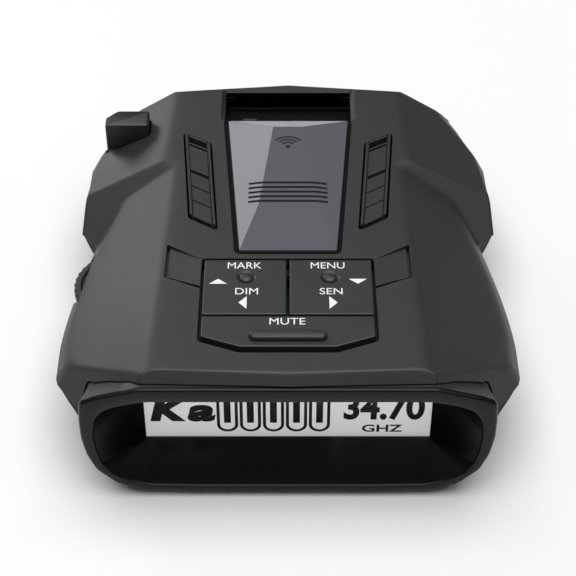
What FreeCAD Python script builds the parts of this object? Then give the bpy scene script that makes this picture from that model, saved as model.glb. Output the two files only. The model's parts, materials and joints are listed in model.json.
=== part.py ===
import FreeCAD, Part
import math
import os

import Sketcher

# A windscreen-mount radar detector: a faceted two-shell case with a hooded display at the driver's end (-Y),
# a horn antenna behind the nose (+Y), three keys, a volume wheel and a bracket slot with its release latch.
# +Z is up, the origin is the centre of the case's footprint, and all sizes are in millimetres.

V = FreeCAD.Vector
doc = FreeCAD.newDocument("RadarDetector")

SIZES = [
    # (name, value, what it is)
    ("overall_width", 80, "case, side to side at the display end"),
    ("overall_length", 94, "display hood to nose"),
    ("deck_height", 29.3, "deck above the underside at the display end"),
    ("deck_fall", 2.8, "height the deck loses by the brow"),
    ("parting_height", 15.5, "joint between the two covers"),
    ("wall", 1.8, "wall of both covers"),
    ("lip_wall", 1.0, "thinned wall round the display opening"),
    ("keel_step", 3.7, "inward lean of the lower side down to the keel edge"),
    ("keel_height", 3.2, "height of the keel edge"),
    ("keel_inset", 6, "inset of the flat underside"),
    ("fit_gap", 0.3, "clearance round anything that moves in an opening"),
    ("seat_gap", 0.1, "clearance round anything that is fixed in a seat"),
    # stations along the case, and how far each outline point lies in from the full half width
    ("collar_step", 1.2, "display hood face to the end of the covers"),
    ("brim_step", 2.4, "display hood face to the end ridge of the deck"),
    ("corner_step", 11, "display hood face to the full width"),
    ("hip_step", 20, "display hood face to the start of the taper"),
    ("waist_step", 47.3, "display hood face to the waist"),
    ("shoulder_step", 57.5, "display hood face to the full shoulder"),
    ("haunch_back", 25, "nose to the end of the shoulder"),
    ("brow_back", 12.5, "nose to the far edge of the deck"),
    ("collar_side", 4.8, "inset of the side at the collar"),
    ("collar_edge", 8.6, "inset of the collar's upper corner"),
    ("collar_edge_height", 23.3, "height of the collar's upper corner"),
    ("collar_top", 27.3, "top of the collar"),
    ("brim_side", 3.6, "inset of the side at the brim"),
    ("brim_edge", 7.4, "inset of the brim's corner"),
    ("brim_edge_height", 23, "height of the brim's corner"),
    ("side_edge", 1.6, "inset of the slope's foot on the full width"),
    ("side_edge_height", 18.1, "height of the slope's foot"),
    ("deck_inset", 17.2, "inset of the deck's side ridge"),
    ("waist_side", 4.4, "inset of the waist"),
    ("waist_edge", 5.8, "inset of the slope's foot at the waist"),
    ("waist_deck", 19.1, "inset of the deck's ridge at the waist"),
    ("shoulder_side", 1.3, "inset of the shoulder"),
    ("shoulder_edge", 3.4, "inset of the shoulder's upper edge"),
    ("shoulder_edge_height", 20.3, "height of the shoulder's upper edge"),
    ("haunch_side", 1.6, "inset of the side where the shoulder ends"),
    ("haunch_edge", 5, "inset of the upper edge where the shoulder ends"),
    ("haunch_edge_height", 21.6, "height of the upper edge there"),
    ("brow_side", 6, "inset of the side at the brow"),
    ("brow_edge", 11.5, "inset of the brow's corner"),
    ("brow_edge_height", 22.6, "height of the brow's corner"),
    ("nose_side", 20, "inset of the side at the nose"),
    ("nose_edge", 20.8, "inset of the nose's upper corner"),
    ("nose_deck", 23, "inset of the nose's top"),
    ("nose_top", 17.5, "top of the nose"),
    # display hood, its mouth and the display behind it
    ("bezel_plate", 1.05, "thickness of the hood's rim"),
    ("bezel_wall", 1.0, "wall of the hood's funnel"),
    ("mouth_top", 23.6, "top of the mouth"),
    ("mouth_bottom", 3.2, "bottom of the mouth"),
    ("mouth_half", 32.2, "half width of the mouth"),
    ("mouth_flat", 23.4, "half width of the mouth's straight top and bottom"),
    ("mouth_shoulder", 18.0, "height of the mouth's upper side corner"),
    ("mouth_knee", 8.3, "height of the mouth's lower side corner"),
    ("rim_top", 3.1, "rim above the mouth"),
    ("rim_side", 2.2, "rim beside the mouth"),
    ("rim_bottom", 1.5, "rim below the mouth"),
    ("hood_depth", 8.8, "rim's face to the display"),
    ("display_half", 24.7, "half width of the visible display"),
    ("display_bottom", 5.7, "bottom of the visible display"),
    ("display_top", 20, "top of the visible display"),
    ("display_border", 1.2, "what the lens and the panel overlap behind the hood"),
    ("lens_thickness", 0.8, "clear lens"),
    ("panel_thickness", 1.8, "liquid crystal panel"),
    ("backlight_thickness", 2.4, "light guide behind the panel"),
    ("holder_wall", 0.9, "wall of the display's holder"),
    # keys, measured along the deck from its end ridge
    ("key_half", 14.5, "half width of the key field"),
    ("key_far", 27.5, "end ridge to the hinged edge of the keys"),
    ("key_split", 13.1, "end ridge to the gap above the mute key"),
    ("mute_side_near", 7.9, "end ridge to the mute key's side corner"),
    ("mute_near", 5.4, "end ridge to the mute key's near edge"),
    ("mute_near_half", 8, "half width of the mute key's near edge"),
    ("key_gap", 0.5, "gap round each key"),
    ("key_plate", 1.5, "thickness of a key"),
    ("key_proud", 0.2, "how far the near edges stand above the deck"),
    ("nub_out", 7.2, "centre line to a key's nub"),
    ("nub_along", 22.9, "end ridge to a key's nub"),
    ("nub_radius", 1.3, "nub"),
    ("stem_along", 17.5, "end ridge to the stem under a key"),
    ("mute_stem_along", 9.6, "end ridge to the stem under the mute key"),
    ("stem_radius", 1.1, "stem under a key"),
    ("key_travel", 0.6, "travel that each key's stem has above its switch"),
    # glossy window, its seat and the sound slots
    ("window_near", 30.0, "end ridge to the window's near edge"),
    ("window_far", 68.1, "end ridge to the window's far edge"),
    ("window_near_half", 8.6, "half width of the window's near edge"),
    ("window_far_half", 11.5, "half width of the window's far edge"),
    ("window_gap", 0.8, "dark gap round the window"),
    ("window_thickness", 2.0, "window plate"),
    ("window_seat", 1.6, "depth of the window's seat"),
    ("seat_floor", 1.3, "floor of the window's seat"),
    ("slot_count", 5, "sound slots"),
    ("slot_pitch", 1.18, "from slot to slot"),
    ("slot_width", 0.55, "width of a sound slot"),
    ("slot_half", 7.2, "half length of a sound slot"),
    ("slot_along", 44.2, "end ridge to the nearest slot"),
    # vent inserts
    ("vent_far", 64.0, "end ridge to the vent's far outer corner"),
    ("vent_far_inner", 61.0, "end ridge to the vent's far inner corner"),
    ("vent_near", 39.3, "end ridge to the vent's near outer corner"),
    ("vent_near_inner", 36.1, "end ridge to the vent's near inner corner"),
    ("vent_far_out", 19.6, "centre line to the far outer corner"),
    ("vent_far_in", 14.8, "centre line to the far inner corner"),
    ("vent_near_out", 17.6, "centre line to the near outer corner"),
    ("vent_near_in", 12.9, "centre line to the near inner corner"),
    ("vent_seat", 1.0, "depth of the vent's seat"),
    ("vent_proud", 0.5, "how far the insert stands above the deck"),
    # bracket slot, measured from the nose
    ("bracket_half", 12.2, "half width of the bracket slot"),
    ("bracket_far", 22.5, "nose to the slot's inner end"),
    ("bracket_lip", 13.6, "nose to the inner side of the slot's lip"),
    ("bracket_floor", 21.5, "height of the slot's floor"),
    ("bracket_blade", 3.0, "height of the tunnel under the lip"),
    ("bracket_wall", 1.5, "wall under and beside the slot"),
    # release button and latch
    ("button_inset", 4.8, "case side to the button's outer side"),
    ("button_width", 8.3, "button, across the case"),
    ("button_back", 24.6, "nose to the button's near face"),
    ("button_length", 4.6, "button, along the case"),
    ("button_top", 26.8, "height of the button's top"),
    ("button_head", 20.9, "height of the underside of the button's head"),
    ("button_neck", 3.7, "how far the neck's outer side lies in from the head's"),
    ("button_cant", 2.2, "cut-off outer corner of the head"),
    ("button_foot", 18.6, "height of the button's underside"),
    ("button_travel", 1.4, "travel of the button"),
    ("latch_thickness", 1.8, "latch arm"),
    ("latch_catch_rise", 1.1, "catch above the slot's floor"),
    ("catch_out", 7.5, "centre line to the middle of the catch"),
    ("catch_half", 1.3, "half width of the catch"),
    ("catch_back", 18.5, "nose to the middle of the catch"),
    ("spring_out", 26, "centre line to the release spring"),
    ("spring_radius", 1.7, "release spring, to the middle of its wire"),
    ("spring_wire", 0.5, "wire of the release spring"),
    ("spring_turns", 5.5, "turns of the release spring"),
    ("spring_post_height", 9.5, "top of the post that carries the spring"),
    ("spring_post_radius", 2.6, "post that carries the spring"),
    # volume wheel
    ("wheel_inset", 8.0, "inner face of the side wall to the wheel's axis"),
    ("wheel_along", 34.9, "display hood face to the wheel's axis"),
    ("wheel_radius", 8.5, "volume wheel"),
    ("wheel_thickness", 2.7, "volume wheel"),
    ("wheel_bottom", 15.2, "height of the wheel's underside"),
    ("wheel_flutes", 36, "grip flutes round the wheel"),
    ("shaft_radius", 1.5, "shaft of the volume control"),
    ("shaft_clearance", 0.05, "radial running clearance of the shaft"),
    ("control_half", 3.2, "half width of the volume control's body"),
    ("control_height", 3.6, "height of the volume control's body"),
    # main board and what stands on it
    ("board_near", 16.4, "display hood face to the main board"),
    ("board_length", 38.6, "main board"),
    ("board_inset", 2.2, "waist's inner wall to the main board"),
    ("board_height", 9.0, "height of the main board's underside"),
    ("board_thickness", 1.6, "main board"),
    ("chip_side", 10, "processor"),
    ("chip_height", 1.4, "processor"),
    ("ribbon_half", 9, "half width of the ribbon socket"),
    ("ribbon_length", 3.5, "ribbon socket, along the case"),
    ("ribbon_height", 2.2, "ribbon socket"),
    ("chip_gap", 3.6, "far end of the ribbon socket to the processor"),
    ("capacitor_radius", 2.5, "capacitor"),
    ("capacitor_height", 4.0, "capacitor"),
    ("can_half", 11, "half width of the shielding can"),
    ("can_length", 13, "shielding can"),
    ("can_height", 3.0, "shielding can"),
    ("can_skin", 0.4, "sheet of the shielding can"),
    ("key_board_height", 20.9, "height of the key board's underside"),
    ("key_board_thickness", 1.0, "key board"),
    ("key_board_half", 16.5, "half width of the key board"),
    ("key_board_near", 10.6, "display hood face to the key board"),
    ("key_board_length", 22.0, "key board"),
    ("switch_half", 2.5, "half width of a key switch"),
    ("switch_height", 2.0, "height of a key switch"),
    ("plunger_radius", 0.9, "plunger of a key switch"),
    ("plunger_gap", 0.2, "clearance round a switch's plunger"),
    ("plunger_room", 1.3, "depth of the plunger's well"),
    # speaker
    ("speaker_along", 48.4, "display hood face to the speaker's axis"),
    ("speaker_radius", 11.5, "speaker basket"),
    ("speaker_top", 23.4, "height of the speaker's rim"),
    ("speaker_rim", 1.2, "thickness of the basket's rim"),
    ("speaker_height", 5.6, "speaker basket"),
    ("magnet_radius", 6.5, "speaker magnet"),
    ("magnet_height", 2.6, "speaker magnet"),
    # antenna, laser receiver and nose window
    ("horn_centre", -5, "centre line to the horn's axis"),
    ("horn_mouth_half", 11, "half width of the horn's mouth"),
    ("horn_throat_half", 5, "half width of the horn's throat"),
    ("horn_bottom", 3.0, "height of the horn's underside"),
    ("horn_top", 14.6, "height of the horn's top"),
    ("horn_front_back", 5.6, "nose to the horn's mouth"),
    ("horn_length", 24, "horn"),
    ("horn_skin", 1.0, "wall of the horn"),
    ("laser_centre", 12.5, "centre line to the laser receiver"),
    ("laser_half", 4.2, "half width of the laser receiver"),
    ("nose_window_half", 17, "half width of the nose window"),
    ("nose_window_bottom", 4, "height of the nose window's lower edge"),
    ("nose_window_top", 13.2, "height of the nose window's upper edge"),
    ("nose_window_thickness", 1.6, "nose window"),
    # sockets
    ("power_along", 27.9, "display hood face to the middle of the power socket"),
    ("power_half", 5.6, "half length of the power socket"),
    ("power_bottom", 2.2, "height of the power socket's underside"),
    ("power_well_half", 4.5, "half length of the power socket's well"),
    ("power_well_height", 4.8, "height of the power socket's well"),
    ("power_depth", 11.5, "power socket"),
    ("socket_face", 33.2, "centre line to the mouth of the power socket"),
    ("socket_recess", 4.2, "depth to which the side wall is cut round the power socket"),
    ("audio_along", 37.4, "display hood face to the audio socket's axis"),
    ("audio_face", 33.6, "centre line to the mouth of the audio socket"),
    ("audio_collar", 2.6, "radius of the audio socket's collar"),
    ("audio_collar_length", 4.6, "audio socket's collar"),
    ("audio_radius", 1.77, "bore of the audio socket"),
    ("audio_half", 3.0, "half width of the audio socket"),
    ("audio_height", 5.9, "height of the audio socket's axis"),
    ("audio_depth", 13.5, "audio socket"),
    ("audio_bore_depth", 12.0, "bore of the audio socket"),
    ("usb_along", 27.9, "display hood face to the data socket"),
    ("usb_half", 4.0, "half length of the data socket"),
    ("usb_height", 2.9, "height of the data socket"),
    ("usb_depth", 6.0, "data socket"),
    ("usb_face", 34.2, "centre line to the mouth of the data socket"),
    ("usb_skin", 0.3, "shell of the data socket"),
    # fastenings
    ("rear_screw_out", 29.4, "centre line to a rear case screw"),
    ("rear_screw_along", 18.6, "display hood face to the rear case screws"),
    ("front_screw_out", 28, "centre line to a front case screw"),
    ("front_screw_along", 61, "display hood face to the front case screws"),
    ("post_radius", 3.1, "screw post of the lower cover"),
    ("boss_radius", 2.8, "screw boss of the upper cover"),
    ("boss_top", 22.5, "height of the screw bosses' tops"),
    ("screw_radius", 1.25, "case screw"),
    ("screw_head_radius", 2.1, "head of a case screw"),
    ("screw_head_height", 1.6, "head of a case screw"),
    ("screw_head_depth", 2.2, "depth of the counterbore under a post"),
    ("screw_clearance", 0.15, "round a screw in a clearance hole"),
    ("small_screw_radius", 0.9, "board screw"),
    ("small_head_radius", 1.8, "head of a board screw"),
    ("small_head_height", 1.1, "head of a board screw"),
    ("small_screw_length", 5.0, "board screw"),
    ("standoff_radius", 2.1, "standoff under the main board"),
    ("standoff_out", 19.4, "centre line to a standoff"),
    ("standoff_near", 14, "main board's near edge to the first standoffs"),
    ("label_half", 18, "half width of the rating label"),
    ("label_length", 26, "rating label"),
    ("label_thickness", 0.3, "rating label"),
]


class Size:
    """A value that knows its spreadsheet expression, so that sums of sizes stay bound to the sheet."""

    def __init__(self, value, text):
        self.value = float(value)
        self.text = text

    def join(self, other, sign, result, swapped=False):
        mine, theirs = self.text, text_of(other)
        if swapped:
            mine, theirs = theirs, mine
        return Size(result, f"({mine} {sign} {theirs})")

    def __add__(self, other):
        return self.join(other, "+", self.value + value_of(other))

    def __radd__(self, other):
        return self.join(other, "+", self.value + value_of(other), True)

    def __sub__(self, other):
        return self.join(other, "-", self.value - value_of(other))

    def __rsub__(self, other):
        return self.join(other, "-", value_of(other) - self.value, True)

    def __mul__(self, other):
        return self.join(other, "*", self.value * value_of(other))

    def __rmul__(self, other):
        return self.join(other, "*", self.value * value_of(other), True)

    def __truediv__(self, other):
        return self.join(other, "/", self.value / value_of(other))

    def __neg__(self):
        return Size(-self.value, f"(0 - {self.text})")


def value_of(size):
    return size.value if isinstance(size, Size) else float(size)


def text_of(size):
    return size.text if isinstance(size, Size) else f"{float(size):.6f}"


def arc_tangent(size):
    """The angle in degrees whose tangent is the size."""
    return Size(math.degrees(math.atan(size.value)), f"atan({size.text})")


class Sizes:
    """The spreadsheet, with one attribute for each of its named cells."""

    def __init__(self, rows):
        sheet = doc.addObject("Spreadsheet::Sheet", "Sizes")
        for number, (name, value, meaning) in enumerate(rows, start=1):
            sheet.set(f"A{number}", str(value))
            sheet.setAlias(f"A{number}", name)
            sheet.set(f"B{number}", meaning)
            setattr(self, name, Size(value, f"Sizes.{name}"))
        doc.recompute()


s = Sizes(SIZES)
NODES = []

# Places worked out from the sizes.
half = s.overall_width / 2
hood = -(s.overall_length / 2)
nose = s.overall_length / 2
collar = hood + s.collar_step
brim = hood + s.brim_step
brow = nose - s.brow_back
deck_rate = s.deck_fall / (brow - brim)
deck_angle = arc_tangent(deck_rate)
nose_rate = (s.deck_height - s.deck_fall - s.nose_top) / s.brow_back
wheel_x = s.wheel_inset + s.wall - half
wheel_y = hood + s.wheel_along
board_top = s.board_height + s.board_thickness
board_half = half - s.waist_side - s.wall - s.board_inset
key_board_top = s.key_board_height + s.key_board_thickness
display_y = hood + s.hood_depth
lens_far = display_y + s.lens_thickness + s.seat_gap
panel_far = lens_far + s.panel_thickness + s.seat_gap
backlight_far = panel_far + s.backlight_thickness
button_outer = half - s.button_inset
button_inner = button_outer - s.button_width
button_near = nose - s.button_back
button_far = button_near + s.button_length
seat_depth = s.window_seat + s.seat_floor
frame_depth = seat_depth + s.seat_gap
latch_top = s.button_foot + s.seat_gap
latch_bottom = latch_top - s.latch_thickness
speaker_y = hood + s.speaker_along
speaker_bottom = s.speaker_top - s.speaker_height
REAR_SCREWS = [(side * s.rear_screw_out, hood + s.rear_screw_along) for side in (-1, 1)]
FRONT_SCREWS = [(side * s.front_screw_out, hood + s.front_screw_along) for side in (-1, 1)]
CASE_SCREWS = REAR_SCREWS + FRONT_SCREWS


def deck_z(y):
    """Height of the deck's plane at a place along the case."""
    return s.deck_height - deck_rate * (y - brim)


# Helpers: bodies whose features are bound to the sheet.

def bind(thing, name, size):
    """Set a property and bind it to the sheet."""
    if isinstance(size, Size):
        thing.setExpression(name, size.text)


class Piece:
    """A PartDesign body that is padded, lofted and cut from sketches bound to the sheet."""

    def __init__(self, label):
        self.body = doc.addObject("PartDesign::Body", label)
        self.body.Label = label
        self.count = 0
        self.features = []
        NODES.append(self.body)

    def sketch(self, plane, offset=0.0, on_deck=False):
        """An empty sketch on an origin plane of the body, moved along its normal or laid on the deck."""
        self.count += 1
        sketch = self.body.newObject("Sketcher::SketchObject", f"{self.body.Label}_sketch_{self.count}")
        support = [f for f in self.body.Origin.OriginFeatures if f.Role == plane][0]
        sketch.AttachmentSupport = [(support, "")]
        sketch.MapMode = "FlatFace"
        if on_deck:
            turn = FreeCAD.Rotation(V(-1, 0, 0), deck_angle.value)
            sketch.AttachmentOffset = FreeCAD.Placement(V(0, brim.value, s.deck_height.value), turn)
            bind(sketch, "AttachmentOffset.Base.y", brim)
            bind(sketch, "AttachmentOffset.Base.z", s.deck_height)
            bind(sketch, "AttachmentOffset.Rotation.Angle", deck_angle)
        else:
            sketch.AttachmentOffset.Base = V(0, 0, value_of(offset))
            bind(sketch, "AttachmentOffset.Base.z", offset)
        return sketch

    def polygon(self, sketch, points):
        """A closed outline through the points, each point dimensioned from the origin."""
        first = sketch.GeometryCount
        spots = [V(value_of(x), value_of(y), 0) for x, y in points]
        for start, end in zip(spots, spots[1:] + spots[:1]):
            sketch.addGeometry(Part.LineSegment(start, end), False)
        for i, (x, y) in enumerate(points):
            line, following = first + i, first + (i + 1) % len(points)
            sketch.addConstraint(Sketcher.Constraint("Coincident", line, 2, following, 1))
            for kind, size in (("DistanceX", x), ("DistanceY", y)):
                rule = Sketcher.Constraint(kind, -1, 1, line, 1, value_of(size))
                bind(sketch, f"Constraints[{sketch.addConstraint(rule)}]", size)
        return sketch

    def circles(self, sketch, centres, radius):
        """Circles of one radius about the centres."""
        for x, y in centres:
            circle = Part.Circle(V(value_of(x), value_of(y), 0), V(0, 0, 1), value_of(radius))
            index = sketch.addGeometry(circle, False)
            rules = (("DistanceX", x), ("DistanceY", y))
            for kind, size in rules:
                rule = Sketcher.Constraint(kind, -1, 1, index, 3, value_of(size))
                bind(sketch, f"Constraints[{sketch.addConstraint(rule)}]", size)
            rule = Sketcher.Constraint("Radius", index, value_of(radius))
            bind(sketch, f"Constraints[{sketch.addConstraint(rule)}]", radius)
        return sketch

    def grow(self, kind, sketch, length, reverse=False, middle=False):
        """Pad or pocket a sketch."""
        feature = self.body.newObject(f"PartDesign::{kind}", f"{self.body.Label}_{kind}_{self.count}")
        feature.Profile = sketch
        feature.Length = value_of(length)
        bind(feature, "Length", length)
        feature.Reversed = reverse
        feature.Midplane = middle
        self.features.append(feature)
        return feature

    def pad(self, plane, points, length, offset=0.0, on_deck=False, reverse=False, middle=False):
        sketch = self.polygon(self.sketch(plane, offset, on_deck), points)
        return self.grow("Pad", sketch, length, reverse, middle)

    def pocket(self, plane, points, length, offset=0.0, on_deck=False, reverse=False, middle=False):
        sketch = self.polygon(self.sketch(plane, offset, on_deck), points)
        return self.grow("Pocket", sketch, length, reverse, middle)

    def drum(self, plane, centres, radius, length, offset=0.0, on_deck=False, reverse=False):
        sketch = self.circles(self.sketch(plane, offset, on_deck), centres, radius)
        return self.grow("Pad", sketch, length, reverse)

    def bore(self, plane, centres, radius, length, offset=0.0, on_deck=False, reverse=False):
        sketch = self.circles(self.sketch(plane, offset, on_deck), centres, radius)
        return self.grow("Pocket", sketch, length, reverse)

    def loft(self, kind, sections):
        """A ruled loft through (y, outline) sections that stand across the case."""
        sketches = [self.polygon(self.sketch("XZ_Plane", -y), points) for y, points in sections]
        name = f"{self.body.Label}_{kind}Loft_{self.count}"
        feature = self.body.newObject(f"PartDesign::{kind}Loft", name)
        feature.Profile = sketches[0]
        feature.Sections = [(sketch, [""]) for sketch in sketches[1:]]
        feature.Ruled = True
        self.features.append(feature)
        return feature


def mirrored(points):
    """The outline whose right half is given, from its lowest right point upwards."""
    return points + [(-x, y) for x, y in reversed(points)]


def rectangle(x_low, x_high, y_low, y_high):
    return [(x_low, y_low), (x_high, y_low), (x_high, y_high), (x_low, y_high)]


def box(label, low, high, keep=True):
    """A block between two corners."""
    block = doc.addObject("Part::Box", label)
    block.Label = label
    for name, a, b in zip(("Length", "Width", "Height"), low, high):
        setattr(block, name, value_of(b) - value_of(a))
        bind(block, name, b - a)
    block.Placement.Base = V(*[value_of(a) for a in low])
    for axis, a in zip("xyz", low):
        bind(block, f"Placement.Base.{axis}", a)
    if keep:
        NODES.append(block)
    return block


def rod(label, base, radius, height, keep=True, along_x=False):
    """A cylinder that stands on its base point, or lies along +X from it."""
    bar = doc.addObject("Part::Cylinder", label)
    bar.Label = label
    bar.Radius = value_of(radius)
    bar.Height = value_of(height)
    bind(bar, "Radius", radius)
    bind(bar, "Height", height)
    turn = FreeCAD.Rotation(V(0, 1, 0), 90) if along_x else FreeCAD.Rotation()
    bar.Placement = FreeCAD.Placement(V(*[value_of(a) for a in base]), turn)
    for axis, a in zip("xyz", base):
        bind(bar, f"Placement.Base.{axis}", a)
    if keep:
        NODES.append(bar)
    return bar


def cut(label, base, tools):
    """The base less all the tools."""
    tool = tools[0]
    if len(tools) > 1:
        tool = doc.addObject("Part::MultiFuse", f"{label}_tools")
        tool.Shapes = tools
    result = doc.addObject("Part::Cut", label)
    result.Label = label
    result.Base = base
    result.Tool = tool
    NODES.append(result)
    return result


def group(label, shapes):
    """Separate identical solids that share one node."""
    feature = doc.addObject("Part::Feature", label)
    feature.Label = label
    feature.Shape = Part.makeCompound(shapes)
    feature.Placement = FreeCAD.Placement()
    NODES.append(feature)
    return feature


# The two covers.

def case_sections():
    """Stations from the display end to the nose: place, side, slope's foot, its height, deck ridge, top."""
    return [
        (collar, half - s.collar_side, half - s.collar_edge, s.collar_edge_height,
         half - s.deck_inset, s.collar_top),
        (brim, half - s.brim_side, half - s.brim_edge, s.brim_edge_height, half - s.deck_inset, deck_z(brim)),
        (hood + s.corner_step, half, half - s.side_edge, s.side_edge_height, half - s.deck_inset,
         deck_z(hood + s.corner_step)),
        (hood + s.hip_step, half, half - s.side_edge, s.side_edge_height, half - s.deck_inset,
         deck_z(hood + s.hip_step)),
        (hood + s.waist_step, half - s.waist_side, half - s.waist_edge, s.side_edge_height,
         half - s.waist_deck, deck_z(hood + s.waist_step)),
        (hood + s.shoulder_step, half - s.shoulder_side, half - s.shoulder_edge, s.shoulder_edge_height,
         half - s.deck_inset, deck_z(hood + s.shoulder_step)),
        (nose - s.haunch_back, half - s.haunch_side, half - s.haunch_edge, s.haunch_edge_height,
         half - s.deck_inset, deck_z(nose - s.haunch_back)),
        (brow, half - s.brow_side, half - s.brow_edge, s.brow_edge_height, half - s.deck_inset, deck_z(brow)),
        (nose, half - s.nose_side, half - s.nose_edge, s.nose_top - s.lip_wall, half - s.nose_deck,
         s.nose_top),
    ]


def upper_outline(section, inset, foot):
    """The upper cover's cross section, shrunk by an inset, with its open side at the foot height."""
    _, side, edge, edge_height, ridge, top = section
    return mirrored([(side - inset, foot), (edge - inset, edge_height - inset / 2),
                     (ridge - inset / 2, top - inset)])


def lower_outline(section, inset, top):
    """The lower cover's cross section, shrunk by an inset, with its open side at the top height."""
    side = section[1] - inset
    return mirrored([(side - s.keel_inset, inset), (side - s.keel_step, s.keel_height + inset / 2),
                     (side, top)])


def cavity(sections, outline, open_side):
    """The hollow inside: it runs out through the display end and stops a wall short of the nose."""
    first, last = sections[0], sections[-1]
    result = [(first[0] - s.wall, outline(first, s.lip_wall, open_side))]
    result += [(brim + s.lip_wall, outline(sections[1], s.wall, open_side))]
    result += [(section[0], outline(section, s.wall, open_side)) for section in sections[2:-2]]
    result += [(brow - s.wall / 2, outline(sections[-2], s.wall, open_side))]
    result += [(last[0] - s.wall, outline(last, s.wall, open_side))]
    return result


def wheel_room(piece):
    """The round pocket that lets the volume wheel turn and show through the side wall."""
    height = s.wheel_thickness + 2 * s.fit_gap
    piece.bore("XY_Plane", [(wheel_x, wheel_y)], s.wheel_radius + s.fit_gap, height,
               offset=s.wheel_bottom - s.fit_gap, reverse=True)


def key_field(margin):
    """Outline of the three keys together, on the deck, widened by a margin."""
    return mirrored([
        (s.mute_near_half + margin / 2, s.mute_near - margin),
        (s.key_half + margin, s.mute_side_near - margin / 2),
        (s.key_half + margin, s.key_far + margin),
    ])


def window_outline(margin):
    """Outline of the glossy window on the deck, widened by a margin."""
    return mirrored([
        (s.window_near_half + margin, s.window_near - margin),
        (s.window_far_half + margin, s.window_far + margin),
    ])


def vent_outline(side, margin):
    """Outline of one vent insert on the deck; side is -1 for the left one."""
    return [
        (side * (s.vent_near_in - margin), s.vent_near_inner - margin),
        (side * (s.vent_near_out + margin), s.vent_near - margin),
        (side * (s.vent_far_out + margin), s.vent_far + margin),
        (side * (s.vent_far_in - margin), s.vent_far_inner + margin),
    ]


def sound_slots(piece, depth, reverse=False):
    """Straight slots from the deck's plane through the window or its seat, above the speaker."""
    for i in range(int(s.slot_count.value)):
        near = s.slot_along + i * s.slot_pitch
        piece.pocket("XY_Plane", rectangle(-s.slot_half, s.slot_half, near, near + s.slot_width), depth,
                     on_deck=True, reverse=reverse)


def top_cover():
    piece = Piece("top_cover")
    sections = case_sections()
    piece.loft("Additive", [(sec[0], upper_outline(sec, 0.0, s.parting_height)) for sec in sections])
    piece.loft("Subtractive", cavity(sections, upper_outline, s.parting_height - 1))
    # The window's seat hangs a little below the wall, and the bracket slot has a box of its own.
    piece.pad("XY_Plane", window_outline(s.window_gap + s.wall), seat_depth, on_deck=True, reverse=True)
    far, lip_far = nose - s.bracket_far, nose - s.bracket_lip
    skin = s.lip_wall / 2
    box_far = nose - (s.bracket_floor - s.nose_top + skin) / nose_rate
    under = s.bracket_floor - s.bracket_wall
    profile = [
        (far - s.bracket_wall, under),
        (far - s.bracket_wall, deck_z(brow) - skin),
        (brow, deck_z(brow) - skin),
        (box_far, s.bracket_floor - skin / 2),
        (box_far + 1, under),
    ]
    piece.pad("YZ_Plane", profile, 2 * (s.bracket_half + s.bracket_wall), middle=True)
    piece.drum("XY_Plane", CASE_SCREWS, s.boss_radius, s.boss_top - s.parting_height - s.seat_gap,
               offset=s.parting_height + s.seat_gap)
    piece.bore("XY_Plane", CASE_SCREWS, s.screw_radius, s.boss_top - s.parting_height - s.wall,
               offset=s.parting_height, reverse=True)
    # Openings: keys, window seat, sound slots, vents, bracket slot and its tunnel, catch, button and wheel.
    piece.pocket("XY_Plane", key_field(s.key_gap), 2 * s.wall, on_deck=True)
    piece.pocket("XY_Plane", window_outline(s.window_gap), s.window_seat, on_deck=True)
    sound_slots(piece, s.window_seat + 2 * s.seat_floor)
    for side in (-1, 1):
        piece.pocket("XY_Plane", vent_outline(side, s.seat_gap), s.vent_seat, on_deck=True)
    piece.pocket("XY_Plane", rectangle(-s.bracket_half, s.bracket_half, far, lip_far),
                 s.deck_height - s.bracket_floor, offset=s.deck_height)
    tunnel = [(lip_far - 1, s.bracket_floor), (lip_far - 1, s.bracket_floor + s.bracket_blade),
              (nose, s.bracket_floor + s.bracket_blade), (nose, s.bracket_floor)]
    piece.pocket("YZ_Plane", tunnel, 2 * s.bracket_half, middle=True)
    piece.pocket("XY_Plane", catch_outline(s.fit_gap), 2 * s.bracket_wall, offset=s.bracket_floor)
    room = s.button_travel + s.fit_gap
    piece.pocket("XY_Plane", button_outline(s.fit_gap), s.deck_height - s.button_head + room,
                 offset=s.deck_height)
    piece.pocket("XY_Plane", button_neck_outline(s.fit_gap), s.deck_height - s.button_foot + room,
                 offset=s.deck_height)
    wheel_room(piece)
    return piece


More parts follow.
